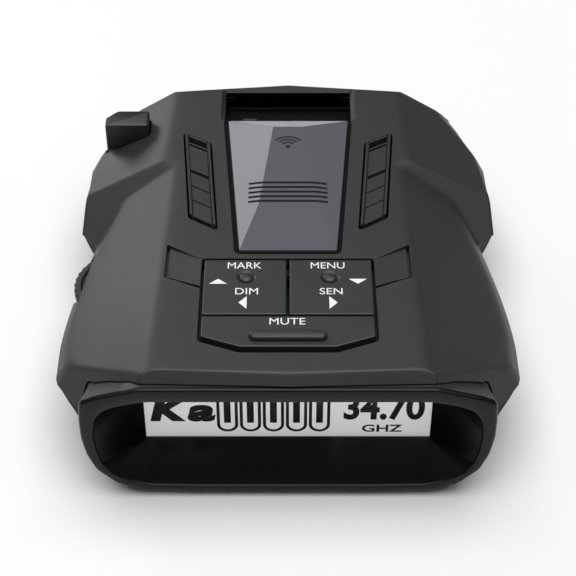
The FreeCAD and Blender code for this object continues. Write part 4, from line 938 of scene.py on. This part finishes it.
def make_hinged_key(side):
    """An upper key with a domed nub in a dimple, two words and two arrows."""
    name, word, low_word = ("mark", "MARK", "DIM") if side < 0 else ("menu", "MENU", "SEN")
    keys = bpy.context.scene.key_sizes
    low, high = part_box(f"{name}_key")
    far, near, field_near = high.y, low.y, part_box("mute_key")[0].y
    inner, outer = sorted((abs(low.x), abs(high.x)))
    outline = corners(on_side([(inner, near), (outer, near), (outer, far), (inner, far)], side),
                      0.25 * MM)
    tilt = key_tilt(far, field_near, keys.rise)
    item = thing(f"{name}_button", key_shape(outline, far, field_near))
    centre = side * KEY_MIDDLE
    nub = (centre, far - 4.6 * MM)
    combine(item, (CUT, dimple(*nub, 1.75 * MM, 0.45 * MM, tilt)),
            (ADD, dome(*nub, 1.2 * MM, 0.55 * MM, lambda x, y: tilt(x, y) - 0.3 * MM)))
    shade(item, 20)
    finish_piece(item, name, "key_black", FINISH["keys"], f"{name}_key")

    cap = keys.legend * LEGEND_STRETCH
    upper_foot, lower_foot = -19.5 * MM, -26.3 * MM
    upper = (centre - 3.25 * MM, upper_foot), (centre + 2.6 * MM, upper_foot + cap)
    lower = (centre - 1.8 * MM, lower_foot), (centre + 2.1 * MM, lower_foot + cap)
    x, y, wide, tall = side * 12 * MM, -22.9 * MM, 1.55 * MM, -side * 0.65 * MM
    upright = [(x - wide, y - tall), (x + wide, y - tall), (x, y + tall)]
    x, y, wide, tall = side * 7.7 * MM, -28.4 * MM, side * 0.7 * MM, 1.6 * MM
    sideward = [(x - wide, y - tall), (x - wide, y + tall), (x + wide, y)]
    on_key = over_deck(tilt)
    legends = joined(f"{name}_legends", [
        fitted(word, *upper, on_key), fitted(low_word, *lower, on_key),
        arrow(upright, on_key), arrow(sideward, on_key)])
    tidy(legends)
    return finish_piece(legends, name, "key_black", FINISH["print"])


def make_mute_key():
    """The lower key with a rounded bar on it and its word."""
    keys = bpy.context.scene.key_sizes
    low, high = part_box("mute_key")
    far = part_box("mark_key")[1].y
    outline = corners(mirrored([(8 * MM, low.y), (high.x, low.y + 2.5 * MM), (high.x, high.y)]),
                      0.25 * MM)
    tilt = key_tilt(far, low.y, keys.rise)
    item = thing("mute_button", key_shape(outline, far, low.y))
    bar = stadium_flat(0, low.y + 2.25 * MM, 6.5 * MM, 1.05 * MM)
    profile = [(-0.5 * MM, 0), (0.55 * MM, 0), (0.85 * MM, -0.12 * MM), (1.05 * MM, -0.4 * MM),
               (1.12 * MM, -0.75 * MM)]
    combine(item, (ADD, skin("bar", standing(bar, profile, tilt=tilt))))
    shade(item, 20)
    finish_piece(item, "mute", "key_black", FINISH["keys"], "mute_key")

    foot = high.y - 2.2 * MM
    head = foot + keys.legend * LEGEND_STRETCH
    word = fitted("MUTE", (-3.1 * MM, foot), (2.9 * MM, head), over_deck(tilt))
    return finish_piece(joined("mute_legend", [word]), "mute", "key_black", FINISH["print"])


def stadium_flat(x, y, half, radius, count=16):
    """A flat bar's outline: half circles of that radius at both ends of a line along x."""
    a = np.linspace(-math.pi / 2, math.pi / 2, count)
    right = np.stack([x + half - radius + radius * np.cos(a), y + radius * np.sin(a)], axis=-1)
    left = np.stack([x - half + radius - radius * np.cos(a), y - radius * np.sin(a)], axis=-1)
    return np.concatenate([right, left])


# Window, vents, button, wheel and nose.

def window_rise(x, y):
    """Height of the window's middle facet over the deck: it rises evenly towards its far end."""
    least, slope, near = 0.8, 0.024, -2.5
    return (least + slope * (y / MM - near)) * MM


def make_window():
    """A faceted plate: flat facets fall from a raised, tilted middle to the outline, and sound
    slots go through it. A near-black ring of painted shade fills the gap round it."""
    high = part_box("top_window")[1]
    outline = corners(window_corners(), 0.25 * MM)
    near, far = -2.6 * MM, high.y - 3.4 * MM
    half_near, half_far = 5.3 * MM, 2.8 * MM
    middle_facet = corners([(-half_near, near), (half_near, near), (half_far, far),
                            (-half_far, far)], 0.02 * MM)
    rings = [standing(outline, [(-1.6 * MM, 0), (0.1 * MM, 0), (0.22 * MM, -0.12 * MM)]),
             standing(middle_facet, [(0, 0)], tilt=window_rise)]
    item = thing("window", skin("window", np.concatenate(rings)))
    steps = []
    first, pitch, wide, half = -1.75 * MM, 1.3 * MM, 0.58 * MM, 7.2 * MM
    for k in range(5):
        y = first + k * pitch
        slot = box_outline(-half, y - wide / 2, half, y + wide / 2, 0.05 * MM)
        steps.append((CUT, skin("sound_slot", standing(slot, [(-3 * MM, 0), (4 * MM, 0)]))))
    combine(item, *steps)
    soften(item, 0.05 * MM, 4)
    item.data.polygons.foreach_set("use_smooth", np.zeros(len(item.data.polygons), dtype=bool))
    finish_piece(item, "case", "window_gloss", FINISH["window"], "top_window")
    # A ring in the near-black painted-shade finish fills the gap round the window.
    deep, shallow, out, under = -1.3 * MM, -0.35 * MM, 0.78 * MM, -0.3 * MM
    seat = closed_ring(standing(outline, [(deep, out), (shallow, out), (shallow, under),
                                          (deep, under), (deep, out)]))
    seat.name = "window_seat"
    finish_piece(seat, "case", "case_black", FINISH["recess"])
    return make_emblem()


def make_emblem():
    """A plain mark of three nested arcs over a dot, such as any radio receiver could carry."""
    middle_y, half_stroke = 14 * MM, 0.22
    on_window = over_deck(window_rise)
    items = [plate(circle(0, middle_y, 0.5 * MM, 20), on_window)]
    a = np.linspace(math.radians(38), math.radians(142), 18)
    there_and_back = np.concatenate([a, a[::-1]])
    for radius in (1.25, 2.1, 2.95):
        r = np.repeat([radius + half_stroke, radius - half_stroke], len(a)) * MM
        arc = np.stack([r * np.cos(there_and_back), middle_y + r * np.sin(there_and_back)], axis=-1)
        items.append(plate(arc, on_window))
    item = joined("window_mark", items)
    return finish_piece(item, "case", "window_gloss", FINISH["mark_grey"])


# Heights along a vent's field: three ramps with a groove after each, then a long ramp, a groove, a
# rib and the open end. Each entry is a share of the vent's length and a height in millimetres.
LOUVRE = np.array([
    (0, 0.52), (0.18, 0.46), (0.183, 0.2), (0.197, 0.2), (0.2, 0.42), (0.355, 0.36), (0.358, 0.1),
    (0.372, 0.1), (0.375, 0.34), (0.53, 0.26), (0.535, -0.6), (0.565, -0.6), (0.57, 0.22),
    (0.87, 0.12), (0.873, -0.5), (0.892, -0.5), (0.895, 0.12), (0.915, 0.1), (0.92, -1.5),
    (0.975, -1.5), (0.98, 0.2), (1, 0.2)])


def make_vent(side):
    """A louvred insert between four corners, where (u, v) lies at the corners' mean weighted by
    (1 - u or u) (1 - v or v). The field's height follows LOUVRE along v. A groove and a border that
    falls towards the far end go round it."""
    name = "left_vent" if side < 0 else "right_vent"
    points = vent_corners(side)
    if side < 0:
        points = points[::-1]
    near_in, near_out, far_out, far_in = (np.array(p) for p in points)
    u = np.array([0, 0, 0.02, 0.09, 0.1, 0.11, 0.14, 0.15, 0.85, 0.86, 0.89, 0.9, 0.91, 0.98, 1, 1])
    v = np.concatenate([[0], LOUVRE[:, 0], [1]])
    field = np.interp(v, *LOUVRE.T) * MM
    border = np.interp(v, [0, 1], [0.78 * MM, 0.3 * MM])
    uu, vv = np.meshgrid(u, v)
    out_of_middle = np.abs(uu - 0.5)
    field_half, border_start, groove, foot = 0.355, 0.395, -0.3 * MM, -1.6 * MM
    height = np.where(out_of_middle < field_half, field[:, None], border[:, None])
    height[(out_of_middle < border_start) & (out_of_middle > field_half)] = groove
    height[[0, -1], :] = foot
    height[:, [0, -1]] = foot
    plan = (((1 - uu) * (1 - vv))[..., None] * near_in + (uu * (1 - vv))[..., None] * near_out
            + (uu * vv)[..., None] * far_out + ((1 - uu) * vv)[..., None] * far_in)
    grid = np.concatenate([plan, (deck_height(plan[..., 1]) + height)[..., None]], axis=-1)
    item = thing(f"{name}_grille", skin(name, grid, wrap=False, capped=False))
    close_foot(item)
    tidy(item)
    shade(item, 15)
    return finish_piece(item, "case", "case_black", FINISH["vent"], name)


def make_button():
    """The release button: a head with a bevelled top on a narrower neck."""
    low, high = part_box("release_button")
    edge, top, head = 0.35 * MM, high.z, low.z + 2.3 * MM
    profile = [(head, 0), (top - edge, 0), (top - 0.3 * edge, -0.3 * edge), (top, -edge)]
    item = thing("button_head", skin("button", standing(corners(button_outline(), edge), profile,
                                                        on_deck=False)))
    neck = box_outline(low.x + 3.7 * MM, low.y + 0.4 * MM, high.x - 0.3 * MM, high.y - 0.4 * MM)
    combine(item, (ADD, skin("neck", standing(neck, [(low.z, 0), (head + 0.5 * MM, 0)],
                                              on_deck=False))))
    shade(item, 35)
    return finish_piece(item, "latch", "case_black", FINISH["button"], "release_button")


def make_spring():
    """The release spring: a round wire along a helix, whose height grows evenly with its turn."""
    low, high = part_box("release_spring")
    wire, turns, travel = 0.25 * MM, 5.5, 1.45 * MM
    centre = (low + high) / 2
    radius = (high.x - low.x) / 2 - wire
    tall = high.z - low.z
    t = np.linspace(0, 2 * math.pi * turns, 220)[:, None]
    a = np.linspace(0, 2 * math.pi, 12, endpoint=False)[None, :]
    out = radius + wire * np.cos(a)
    grid = np.stack([centre.x + out * np.cos(t), centre.y + out * np.sin(t),
                     low.z + wire + (tall - 2 * wire) * t / t[-1, 0] + wire * np.sin(a)], axis=-1)
    item = thing("return_spring", skin("spring", grid))
    shade(item, 40)
    finish_piece(item, "case", "spring_steel", FINISH["spring_steel"], "release_spring")
    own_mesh(item)
    return item


def make_wheel():
    """A fluted wheel: its rim's radius is R - f (1 - |cos(18 a)|), with rounded shoulders and a
    dished top. The profile gives a radius, a share of the thickness and a share of the fluting."""
    low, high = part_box("volume_wheel")
    centre, thick = (low + high) / 2, high.z - low.z
    radius, bore = (high.x - low.x) / 2, 1.5 * MM
    flutes, depth = 36, 0.28 * MM
    a = np.linspace(0, 2 * math.pi, flutes * 12, endpoint=False)[None, :]
    fluting = depth * (1 - np.abs(np.cos(a * flutes / 2)))
    shoulder, crown, dish = radius - 0.35 * MM, radius - 1.2 * MM, radius - 1.6 * MM
    profile = [(bore, 0, 0), (crown, 0, 0), (shoulder, 0.02, 0.4), (radius, 0.14, 1),
               (radius, 0.86, 1), (shoulder, 0.98, 0.4), (crown, 1, 0), (dish, 0.85, 0),
               (bore + 1.2 * MM, 0.85, 0), (bore + 0.9 * MM, 1, 0), (bore, 1, 0), (bore, 0, 0)]
    r, share, cut = np.array(profile).T[:, :, None]
    r = r - cut * fluting
    z = np.broadcast_to(low.z + share * thick, r.shape)
    grid = np.stack([centre.x + r * np.cos(a), centre.y + r * np.sin(a), z], axis=-1)
    item = thing("thumb_wheel", skin("wheel", grid, capped=False))
    tidy(item)
    shade(item, 30)
    return finish_piece(item, "wheel", "wheel_black", FINISH["wheel"], "volume_wheel")


def make_nose_window():
    """The infrared window in the nose: a pane with a rounded edge and a slight crown."""
    low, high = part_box("nose_window")
    outline = box_outline(low.x, low.z, high.x, high.z, 1 * MM)
    edge = 0.3 * MM
    profile = [(low.y, 0), (high.y - edge, 0), (high.y - 0.3 * edge, -0.3 * edge),
               (high.y - 0.02 * MM, -edge), (high.y + 0.06 * MM, -1.1 * MM)]
    item = thing("nose_pane", skin("nose_pane", sideways(outline, profile)))
    shade(item, 30)
    return finish_piece(item, "case", "nose_filter", FINISH["filter"], "nose_window")


# Finishes. Shader maths is written as expressions on sockets.

class Socket:
    """A value in a material's node tree. + - * / and abs() on it add Math nodes."""

    def __init__(self, tree, socket):
        self.tree = tree
        self.socket = socket

    def math(self, operation, *others):
        """A Math node on this value and the others."""
        node = self.tree.nodes.new("ShaderNodeMath")
        node.operation = operation
        for slot, value in zip(node.inputs, (self, *others)):
            join(self.tree, slot, value)
        return Socket(self.tree, node.outputs[0])

    def __add__(self, other):
        return self.math("ADD", other)

    __radd__ = __add__

    def __mul__(self, other):
        return self.math("MULTIPLY", other)

    __rmul__ = __mul__

    def __sub__(self, other):
        return self.math("SUBTRACT", other)

    def __rsub__(self, other):
        return (self * -1.0) + other

    def __truediv__(self, other):
        return self.math("DIVIDE", other)

    def __rtruediv__(self, other):
        return self.math("POWER", -1.0) * other

    def __gt__(self, other):
        return self.math("GREATER_THAN", other)

    def __lt__(self, other):
        return self.math("LESS_THAN", other)

    def __abs__(self):
        return self.math("ABSOLUTE")


def join(tree, slot, value):
    """Links a Socket to an input, or sets the input's own value."""
    if isinstance(value, Socket):
        tree.links.new(value.socket, slot)
    elif hasattr(value, "__len__"):
        slot.default_value = tuple(value) + (1.0,) * (len(slot.default_value) - len(value))
    else:
        slot.default_value = value


class Finish:
    """A material with a Principled shader, whose fixed values are set on the shader itself."""

    def __init__(self, name, **fixed):
        self.material = bpy.data.materials.new(name)
        self.material.use_nodes = True
        self.tree = self.material.node_tree
        self.shader = self.tree.nodes["Principled BSDF"]
        for key, value in fixed.items():
            join(self.tree, self.shader.inputs[key.replace("_", " ")], value)

    def node(self, kind, settings=None, output=0, **values):
        """Adds a node: its settings first, then its inputs by name."""
        node = self.tree.nodes.new(f"ShaderNode{kind}")
        for key, value in (settings or {}).items():
            setattr(node, key, value)
        for key, value in values.items():
            join(self.tree, node.inputs[key], value)
        return Socket(self.tree, node.outputs[output])

    def place(self, scale=(1, 1, 1)):
        """Object coordinates, stretched by scale."""
        where = self.node("TexCoord", output=3)
        return self.node("Mapping", {"vector_type": "POINT"}, Vector=where, Scale=scale)

    def axes(self):
        """The x, y and z of Object coordinates."""
        split = self.node("SeparateXYZ", Vector=self.place())
        return [Socket(self.tree, out) for out in split.socket.node.outputs]

    def noise(self, scale, detail=2.0, stretch=(1, 1, 1)):
        """Clouds of a scale per metre, stretched along the axes."""
        return self.node("TexNoise", Vector=self.place(stretch), Scale=scale, Detail=detail)

    def blend(self, factor, first, second):
        """A colour between two, by factor."""
        node = self.tree.nodes.new("ShaderNodeMix")
        node.data_type = "RGBA"
        for place, value in ((0, factor), (6, first), (7, second)):
            join(self.tree, node.inputs[place], value)
        return Socket(self.tree, node.outputs[2])

    def set(self, **values):
        """Sets or links the shader's own inputs."""
        for key, value in values.items():
            join(self.tree, self.shader.inputs[key.replace("_", " ")], value)

    def bump(self, height, strength, distance):
        """Lets a height ripple the surface."""
        self.set(Normal=self.node("Bump", Height=height, Strength=strength, Distance=distance))


def tinted(base, factor):
    """A colour made lighter or darker."""
    return tuple(min(1.0, c * factor) for c in base)


def moulded(name, base, rough, grain=3200.0, depth=0.02, swing=0.06, specular=0.5):
    """Moulded plastic: a fine grain in its surface, faint clouding of its colour, uneven gloss."""
    made = Finish(name, Specular_IOR_Level=specular)
    swing = swing * 1.6
    fine = made.noise(grain, 2.0)
    cloud = made.noise(90.0, 3.0)
    speck = made.noise(grain * 0.45, 1.0)
    mixed = cloud * 0.6 + speck * 0.4
    made.set(Base_Color=made.blend(mixed, tinted(base, 1 - swing), tinted(base, 1 + swing)))
    made.set(Roughness=(mixed - 0.5) * 0.12 + rough)
    made.bump(fine, 0.35, depth * MM)
    return made.material


def polished(name, base, rough=0.06, coat=1.0):
    """Gloss plastic: a deep colour with a little smoke in it, and almost no texture."""
    made = Finish(name, Coat_Weight=coat, Coat_Roughness=0.03)
    smoke = made.noise(60.0, 4.0)
    made.set(Base_Color=made.blend(smoke, tinted(base, 0.93), tinted(base, 1.07)))
    made.set(Roughness=smoke * 0.06 + rough)
    made.bump(made.noise(500.0, 1.0), 0.04, 0.01 * MM)
    return made.material


def metal(name, base, rough=0.3, stretch=(1, 1, 1), scale=2500.0):
    """Drawn or brushed metal: lines of roughness and bump that run one way."""
    made = Finish(name, Metallic=1.0)
    lines = made.noise(scale, 3.0, stretch)
    patina = made.noise(150.0, 3.0)
    made.set(Base_Color=made.blend(patina, tinted(base, 0.85), tinted(base, 1.1)))
    made.set(Roughness=lines * 0.2 + rough)
    made.bump(lines, 0.3, 0.01 * MM)
    return made.material


def printed(name, base):
    """Pad-printed ink: slightly uneven cover over a fine grain."""
    made = Finish(name, Specular_IOR_Level=0.3)
    cover = made.noise(1800.0, 2.0)
    made.set(Base_Color=made.blend(cover, tinted(base, 0.86), tinted(base, 1.06)))
    made.set(Roughness=cover * 0.2 + 0.45)
    return made.material


def glass_panel(name, base, painted_glow):
    """Pale liquid crystal glass with a painted glow that keeps it pale in the hood's shade: a faint
    grid of cells and soft clouds.
    """
    made = Finish(name, Specular_IOR_Level=0.4, Roughness=0.35)
    across, _, up = made.axes()
    cells, line = 2500.0, 0.46
    upright, level = (abs((way * cells).math("FRACT") - 0.5) > line for way in (across, up))
    lines = upright.math("MAXIMUM", level)
    cloud = made.noise(70.0, 2.0)
    shade_of = lines * 0.05 + cloud * 0.06
    tone = made.blend(shade_of, base, tinted(base, 0.5))
    made.set(Base_Color=tone, Emission_Color=tone)
    # Painted light: the glass glows in its own tone so that it stays pale in the hood's shade.
    made.shader.inputs["Emission Strength"].default_value = painted_glow
    return made.material


def clear_lens(name):
    """A thin clear lens: mostly see-through, with a faint smear in its gloss."""
    made = Finish(name, Base_Color=(0.3, 0.31, 0.32), Alpha=0.02, Specular_IOR_Level=0.5)
    smear = made.noise(120.0, 3.0, (1, 1, 3))
    made.set(Roughness=smear * 0.08 + 0.02)
    return made.material


def board(name):
    """Solder mask over copper: thin traces, a shade lighter than the mask between them."""
    made = Finish(name, Coat_Weight=0.4, Coat_Roughness=0.15)
    cells = made.node("TexVoronoi", {"feature": "F1", "distance": "MANHATTAN"},
                      Vector=made.place(), Scale=420.0)
    weave = made.noise(2600.0, 1.0)
    traces = (abs((cells * 6.0).math("FRACT") - 0.5) > 0.34) * 0.7 + weave * 0.15
    made.set(Base_Color=made.blend(traces, (0.008, 0.06, 0.025), (0.03, 0.17, 0.07)))
    made.set(Roughness=traces * 0.15 + 0.3)
    made.bump(traces, 0.3, 0.03 * MM)
    return made.material


def foil(name):
    """A blank silvered label with a printed frame and rules and no words."""
    made = Finish(name, Metallic=0.55, Specular_IOR_Level=0.5)
    low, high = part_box("rating_label")
    across, along, _ = made.axes()
    margin, line, pitch = 1.2 * MM, 0.15 * MM, 4.2 * MM
    side, end, centre = high.x - margin, (high.y - low.y) / 2 - margin, (low.y + high.y) / 2
    upright = abs(abs(across) - side) < line
    level = abs(abs(along - centre) - end) < line
    rules = (abs((along / pitch).math("FRACT") - 0.5) < 0.03) * (abs(across) < side)
    marks = upright.math("MAXIMUM", level).math("MAXIMUM", rules)
    grain = made.noise(2200.0, 2.0, (1, 8, 1))
    ground = made.blend(grain, (0.42, 0.43, 0.44), (0.52, 0.53, 0.54))
    made.set(Base_Color=made.blend(marks, ground, (0.03, 0.03, 0.035)))
    made.set(Roughness=grain * 0.15 + 0.32)
    return made.material


def paper(name):
    """Coated cone paper: soft fibres in its surface."""
    made = Finish(name)
    fibre = made.noise(1600.0, 5.0, (1, 1, 0.3))
    made.set(Base_Color=made.blend(fibre, (0.02, 0.02, 0.023), (0.06, 0.06, 0.065)))
    made.set(Roughness=fibre * 0.2 + 0.65)
    made.bump(fibre, 0.5, 0.04 * MM)
    return made.material


FINISH = {}


def mix_finishes():
    """Makes every finish, the first time that it is called."""
    if FINISH:
        return
    tones = bpy.context.scene.finishes
    FINISH.update({
        "case": moulded("case_plastic", tones.case, 0.5),
        "vent": moulded("vent_plastic", tones.case, 0.48, depth=0.015),
        "keys": moulded("key_plastic", tones.keys, 0.47, grain=3800.0, depth=0.015),
        "button": moulded("button_plastic", tinted(tones.case, 0.6), 0.42, depth=0.012),
        # The recess finish is painted shade: near-black, for the inside of the bracket slot and the
        # gap round the window.
        "recess": moulded("recess_painted_shade", tinted(tones.hood, 0.7), 0.55, depth=0.01,
                          specular=0.12),
        # Hood finish: satin black plastic, darkened further as painted shade for the hood's inside.
        "hood": moulded("hood_plastic_and_painted_shade", tones.hood, 0.3, grain=2600.0, depth=0.006,
                        specular=0.22),
        "wheel": moulded("wheel_plastic", tinted(tones.case, 0.6), 0.45, depth=0.012),
        "window": polished("window_plastic", tones.window),
        "filter": polished("filter_plastic", (0.02, 0.004, 0.008)),
        "print": printed("legend_ink", tones.legend),
        "mark": printed("display_ink", (0.004, 0.004, 0.004)),
        "mark_grey": printed("window_ink", (0.012, 0.012, 0.013)),
        "inner_plastic": moulded("inner_plastic", (0.02, 0.02, 0.022), 0.55, depth=0.01),
        "lens_clear": clear_lens("lens"),
        # The display glass glows with painted light, to stay pale inside the hood.
        "display_glass": glass_panel("display_panel", tones.display, 0.64),
        "light_guide": polished("light_guide", (0.8, 0.82, 0.8), 0.3, 0.0),
        "board_green": board("solder_mask"),
        "chip_black": moulded("chip_package", (0.014, 0.014, 0.015), 0.5, grain=5000.0,
                              depth=0.01),
        "tin_sheet": metal("tinned_sheet", (0.66, 0.66, 0.65), 0.28, (1, 10, 1)),
        "steel": metal("plated_steel", (0.5, 0.5, 0.5), 0.25),
        "spring_steel": metal("spring_wire", (0.55, 0.55, 0.56), 0.22, (1, 1, 6)),
        "horn_metal": metal("cast_alloy", (0.6, 0.61, 0.63), 0.35, (1, 1, 1), 900.0),
        "capacitor_sleeve": polished("capacitor_sleeve", (0.012, 0.02, 0.06), 0.2, 0.3),
        "magnet_grey": moulded("ferrite", (0.07, 0.07, 0.075), 0.6, grain=1500.0, depth=0.04,
                               swing=0.15),
        "cone_paper": paper("cone"),
        "lens_red": polished("red_lens", (0.16, 0.01, 0.02)),
        "socket_black": moulded("socket_plastic", (0.014, 0.014, 0.015), 0.4, depth=0.01),
        "label_silver": foil("label_foil"),
        "key_black": moulded("plunger_plastic", (0.03, 0.03, 0.033), 0.45, depth=0.01),
    })


# Operators: one for each piece or group of like pieces, and one for the stage.

class DETECTOR_OT_stage(bpy.types.Operator):
    """Sets the camera, a pale floor and soft studio light"""
    bl_idname = "detector.stage"
    bl_label = "Stage"

    def execute(self, context):
        mix_finishes()
        set_stage(context)
        return {"FINISHED"}


class DETECTOR_OT_covers(bpy.types.Operator):
    """Makes the upper and lower covers as faceted skins with their openings"""
    bl_idname = "detector.covers"
    bl_label = "Covers"

    def execute(self, context):
        mix_finishes()
        make_top_cover()
        make_bottom_cover()
        return {"FINISHED"}


class DETECTOR_OT_hood(bpy.types.Operator):
    """Makes the display hood"""
    bl_idname = "detector.hood"
    bl_label = "Display hood"

    def execute(self, context):
        mix_finishes()
        make_hood()
        return {"FINISHED"}


class DETECTOR_OT_display(bpy.types.Operator):
    """Makes the marks that the display shows"""
    bl_idname = "detector.display"
    bl_label = "Display marks"

    def execute(self, context):
        mix_finishes()
        make_display()
        return {"FINISHED"}


class DETECTOR_OT_keys(bpy.types.Operator):
    """Makes the three keys with their legends"""
    bl_idname = "detector.keys"
    bl_label = "Keys"

    def execute(self, context):
        mix_finishes()
        make_hinged_key(-1)
        make_hinged_key(1)
        make_mute_key()
        return {"FINISHED"}


class DETECTOR_OT_window(bpy.types.Operator):
    """Makes the faceted gloss window over the speaker"""
    bl_idname = "detector.window"
    bl_label = "Window"

    def execute(self, context):
        mix_finishes()
        make_window()
        return {"FINISHED"}


class DETECTOR_OT_vents(bpy.types.Operator):
    """Makes the two louvred inserts beside the window"""
    bl_idname = "detector.vents"
    bl_label = "Vents"

    def execute(self, context):
        mix_finishes()
        make_vent(-1)
        make_vent(1)
        return {"FINISHED"}


class DETECTOR_OT_button(bpy.types.Operator):
    """Makes the bracket's release button and its spring"""
    bl_idname = "detector.button"
    bl_label = "Release button"

    def execute(self, context):
        mix_finishes()
        make_button()
        make_spring()
        return {"FINISHED"}


class DETECTOR_OT_wheel(bpy.types.Operator):
    """Makes the fluted volume wheel"""
    bl_idname = "detector.wheel"
    bl_label = "Volume wheel"

    def execute(self, context):
        mix_finishes()
        make_wheel()
        return {"FINISHED"}


class DETECTOR_OT_nose(bpy.types.Operator):
    """Makes the infrared window in the nose"""
    bl_idname = "detector.nose"
    bl_label = "Nose window"

    def execute(self, context):
        mix_finishes()
        make_nose_window()
        return {"FINISHED"}


class DETECTOR_OT_inside(bpy.types.Operator):
    """Gives every piece of the frame that shows its own finish"""
    bl_idname = "detector.inside"
    bl_label = "Inner pieces"

    def execute(self, context):
        mix_finishes()
        dress_frame()
        return {"FINISHED"}


class DETECTOR_PT_panel(bpy.types.Panel):
    """Lists the steps in the 3D view's sidebar"""
    bl_idname = "DETECTOR_PT_panel"
    bl_label = "Radar Detector"
    bl_space_type = "VIEW_3D"
    bl_region_type = "UI"
    bl_category = "Detector"

    def draw(self, context):
        for step in STEPS:
            self.layout.operator(step.bl_idname)
        for group in GROUPS:
            sizes = getattr(context.scene, group)
            box = self.layout.box()
            for key in sizes.__annotations__:
                box.prop(sizes, key)


def dress_frame():
    """Puts the finish of its slot on each node that stays in view."""
    slots = {}
    for row in frame["record"]["materials"]:
        for node in row.get("nodes", []):
            slots[node] = row["slot"]
    for name, item in NODES.items():
        if item.hide_render:
            continue
        chosen = slots.get(name) or slot_by_material(item)
        if not item.material_slots:
            item.data.materials.append(None)
        for slot in item.material_slots:
            slot.material = FINISH.get(chosen, FINISH["inner_plastic"])


def slot_by_material(item):
    """The slot that a node's imported material is named after."""
    for material in item.data.materials:
        if material and material.name.split(".")[0] in FINISH:
            return material.name.split(".")[0]
    return "inner_plastic"


def area_light(name, place, target, size, watts):
    """A rectangular lamp at a place, aimed at a target."""
    lamp = bpy.data.lights.new(name, "AREA")
    lamp.shape = "RECTANGLE"
    lamp.size, lamp.size_y = size
    lamp.energy = watts
    item = bpy.data.objects.new(name, lamp)
    bpy.context.scene.collection.objects.link(item)
    item.location = place
    item.rotation_euler = (Vector(target) - Vector(place)).to_track_quat("-Z", "Y").to_euler()


def set_stage(context):
    """The camera, the floor, three lamps and a sky whose light grows with the square of its
    height."""
    stage = context.scene.stage_sizes
    look_at = Vector((0, 0, 5 * MM))
    away = Vector((0, -math.cos(stage.elevation), math.sin(stage.elevation)))
    camera = bpy.data.cameras.new("camera")
    camera.lens, camera.sensor_width = 103.1, 36
    camera.clip_start = 0.01
    holder = bpy.data.objects.new("camera", camera)
    context.scene.collection.objects.link(holder)
    holder.location = look_at + away * stage.distance
    holder.rotation_euler = (-away).to_track_quat("-Z", "Y").to_euler()
    context.scene.camera = holder

    floor_half, floor_height = 3.0, -0.02 * MM
    floor_x, floor_y = np.meshgrid(*[np.linspace(-floor_half, floor_half, 3)] * 2)
    grid = np.stack([floor_x, floor_y, np.full_like(floor_x, floor_height)], axis=-1)
    floor = thing("floor", skin("floor", grid, wrap=False, capped=False))
    made = Finish("floor_paint", Specular_IOR_Level=0.2)
    cloud = made.noise(4.0, 2.0)
    made.set(Base_Color=made.blend(cloud, (0.72, 0.72, 0.72), (0.76, 0.76, 0.76)),
             Roughness=cloud * 0.1 + 0.7)
    floor.data.materials.append(made.material)

    centre = (0, 0, 15 * MM)
    area_light("key_light", (-0.42, 0.54, 0.20), centre, (0.28, 0.22), stage.key_light)
    area_light("fill_light", (-0.16, 0.50, 0.46), centre, (0.16, 0.2), stage.fill_light)
    area_light("top_light", (0, -0.08, 1.3), centre, (1.4, 1.4), stage.top_light)
    world = bpy.data.worlds.new("studio")
    world.use_nodes = True
    tree = world.node_tree
    ground = tree.nodes["Background"]
    where = tree.nodes.new("ShaderNodeTexCoord")
    parts = tree.nodes.new("ShaderNodeSeparateXYZ")
    tree.links.new(where.outputs["Generated"], parts.inputs[0])
    rise = Socket(tree, parts.outputs[2]).math("MAXIMUM", 0.0)
    ground.inputs["Color"].default_value = (0.96, 0.97, 1.0, 1)
    join(tree, ground.inputs["Strength"], rise * rise * stage.sky_light + 0.02)
    context.scene.world = world
    context.scene.view_settings.view_transform = "Standard"


STEPS = [DETECTOR_OT_stage, DETECTOR_OT_covers, DETECTOR_OT_hood, DETECTOR_OT_display,
         DETECTOR_OT_keys, DETECTOR_OT_window, DETECTOR_OT_vents, DETECTOR_OT_button,
         DETECTOR_OT_wheel, DETECTOR_OT_nose, DETECTOR_OT_inside]
GROUPS = {"case_sizes": CaseSizes, "hood_sizes": HoodSizes, "key_sizes": KeySizes,
          "finishes": Finishes, "stage_sizes": StageSizes}


def register():
    """Registers the sizes, the steps and the panel."""
    for name, group in GROUPS.items():
        bpy.utils.register_class(group)
        setattr(bpy.types.Scene, name, bpy.props.PointerProperty(type=group))
    for step in STEPS:
        bpy.utils.register_class(step)
    bpy.utils.register_class(DETECTOR_PT_panel)


def unregister():
    """Takes away what register() added."""
    bpy.utils.unregister_class(DETECTOR_PT_panel)
    for step in reversed(STEPS):
        bpy.utils.unregister_class(step)
    for name, group in GROUPS.items():
        delattr(bpy.types.Scene, name)
        bpy.utils.unregister_class(group)


def main():
    """Runs every step in order."""
    register()
    for step in STEPS:
        family, action = step.bl_idname.split(".")
        getattr(getattr(bpy.ops, family), action)()


if __name__ == "__main__":
    main()
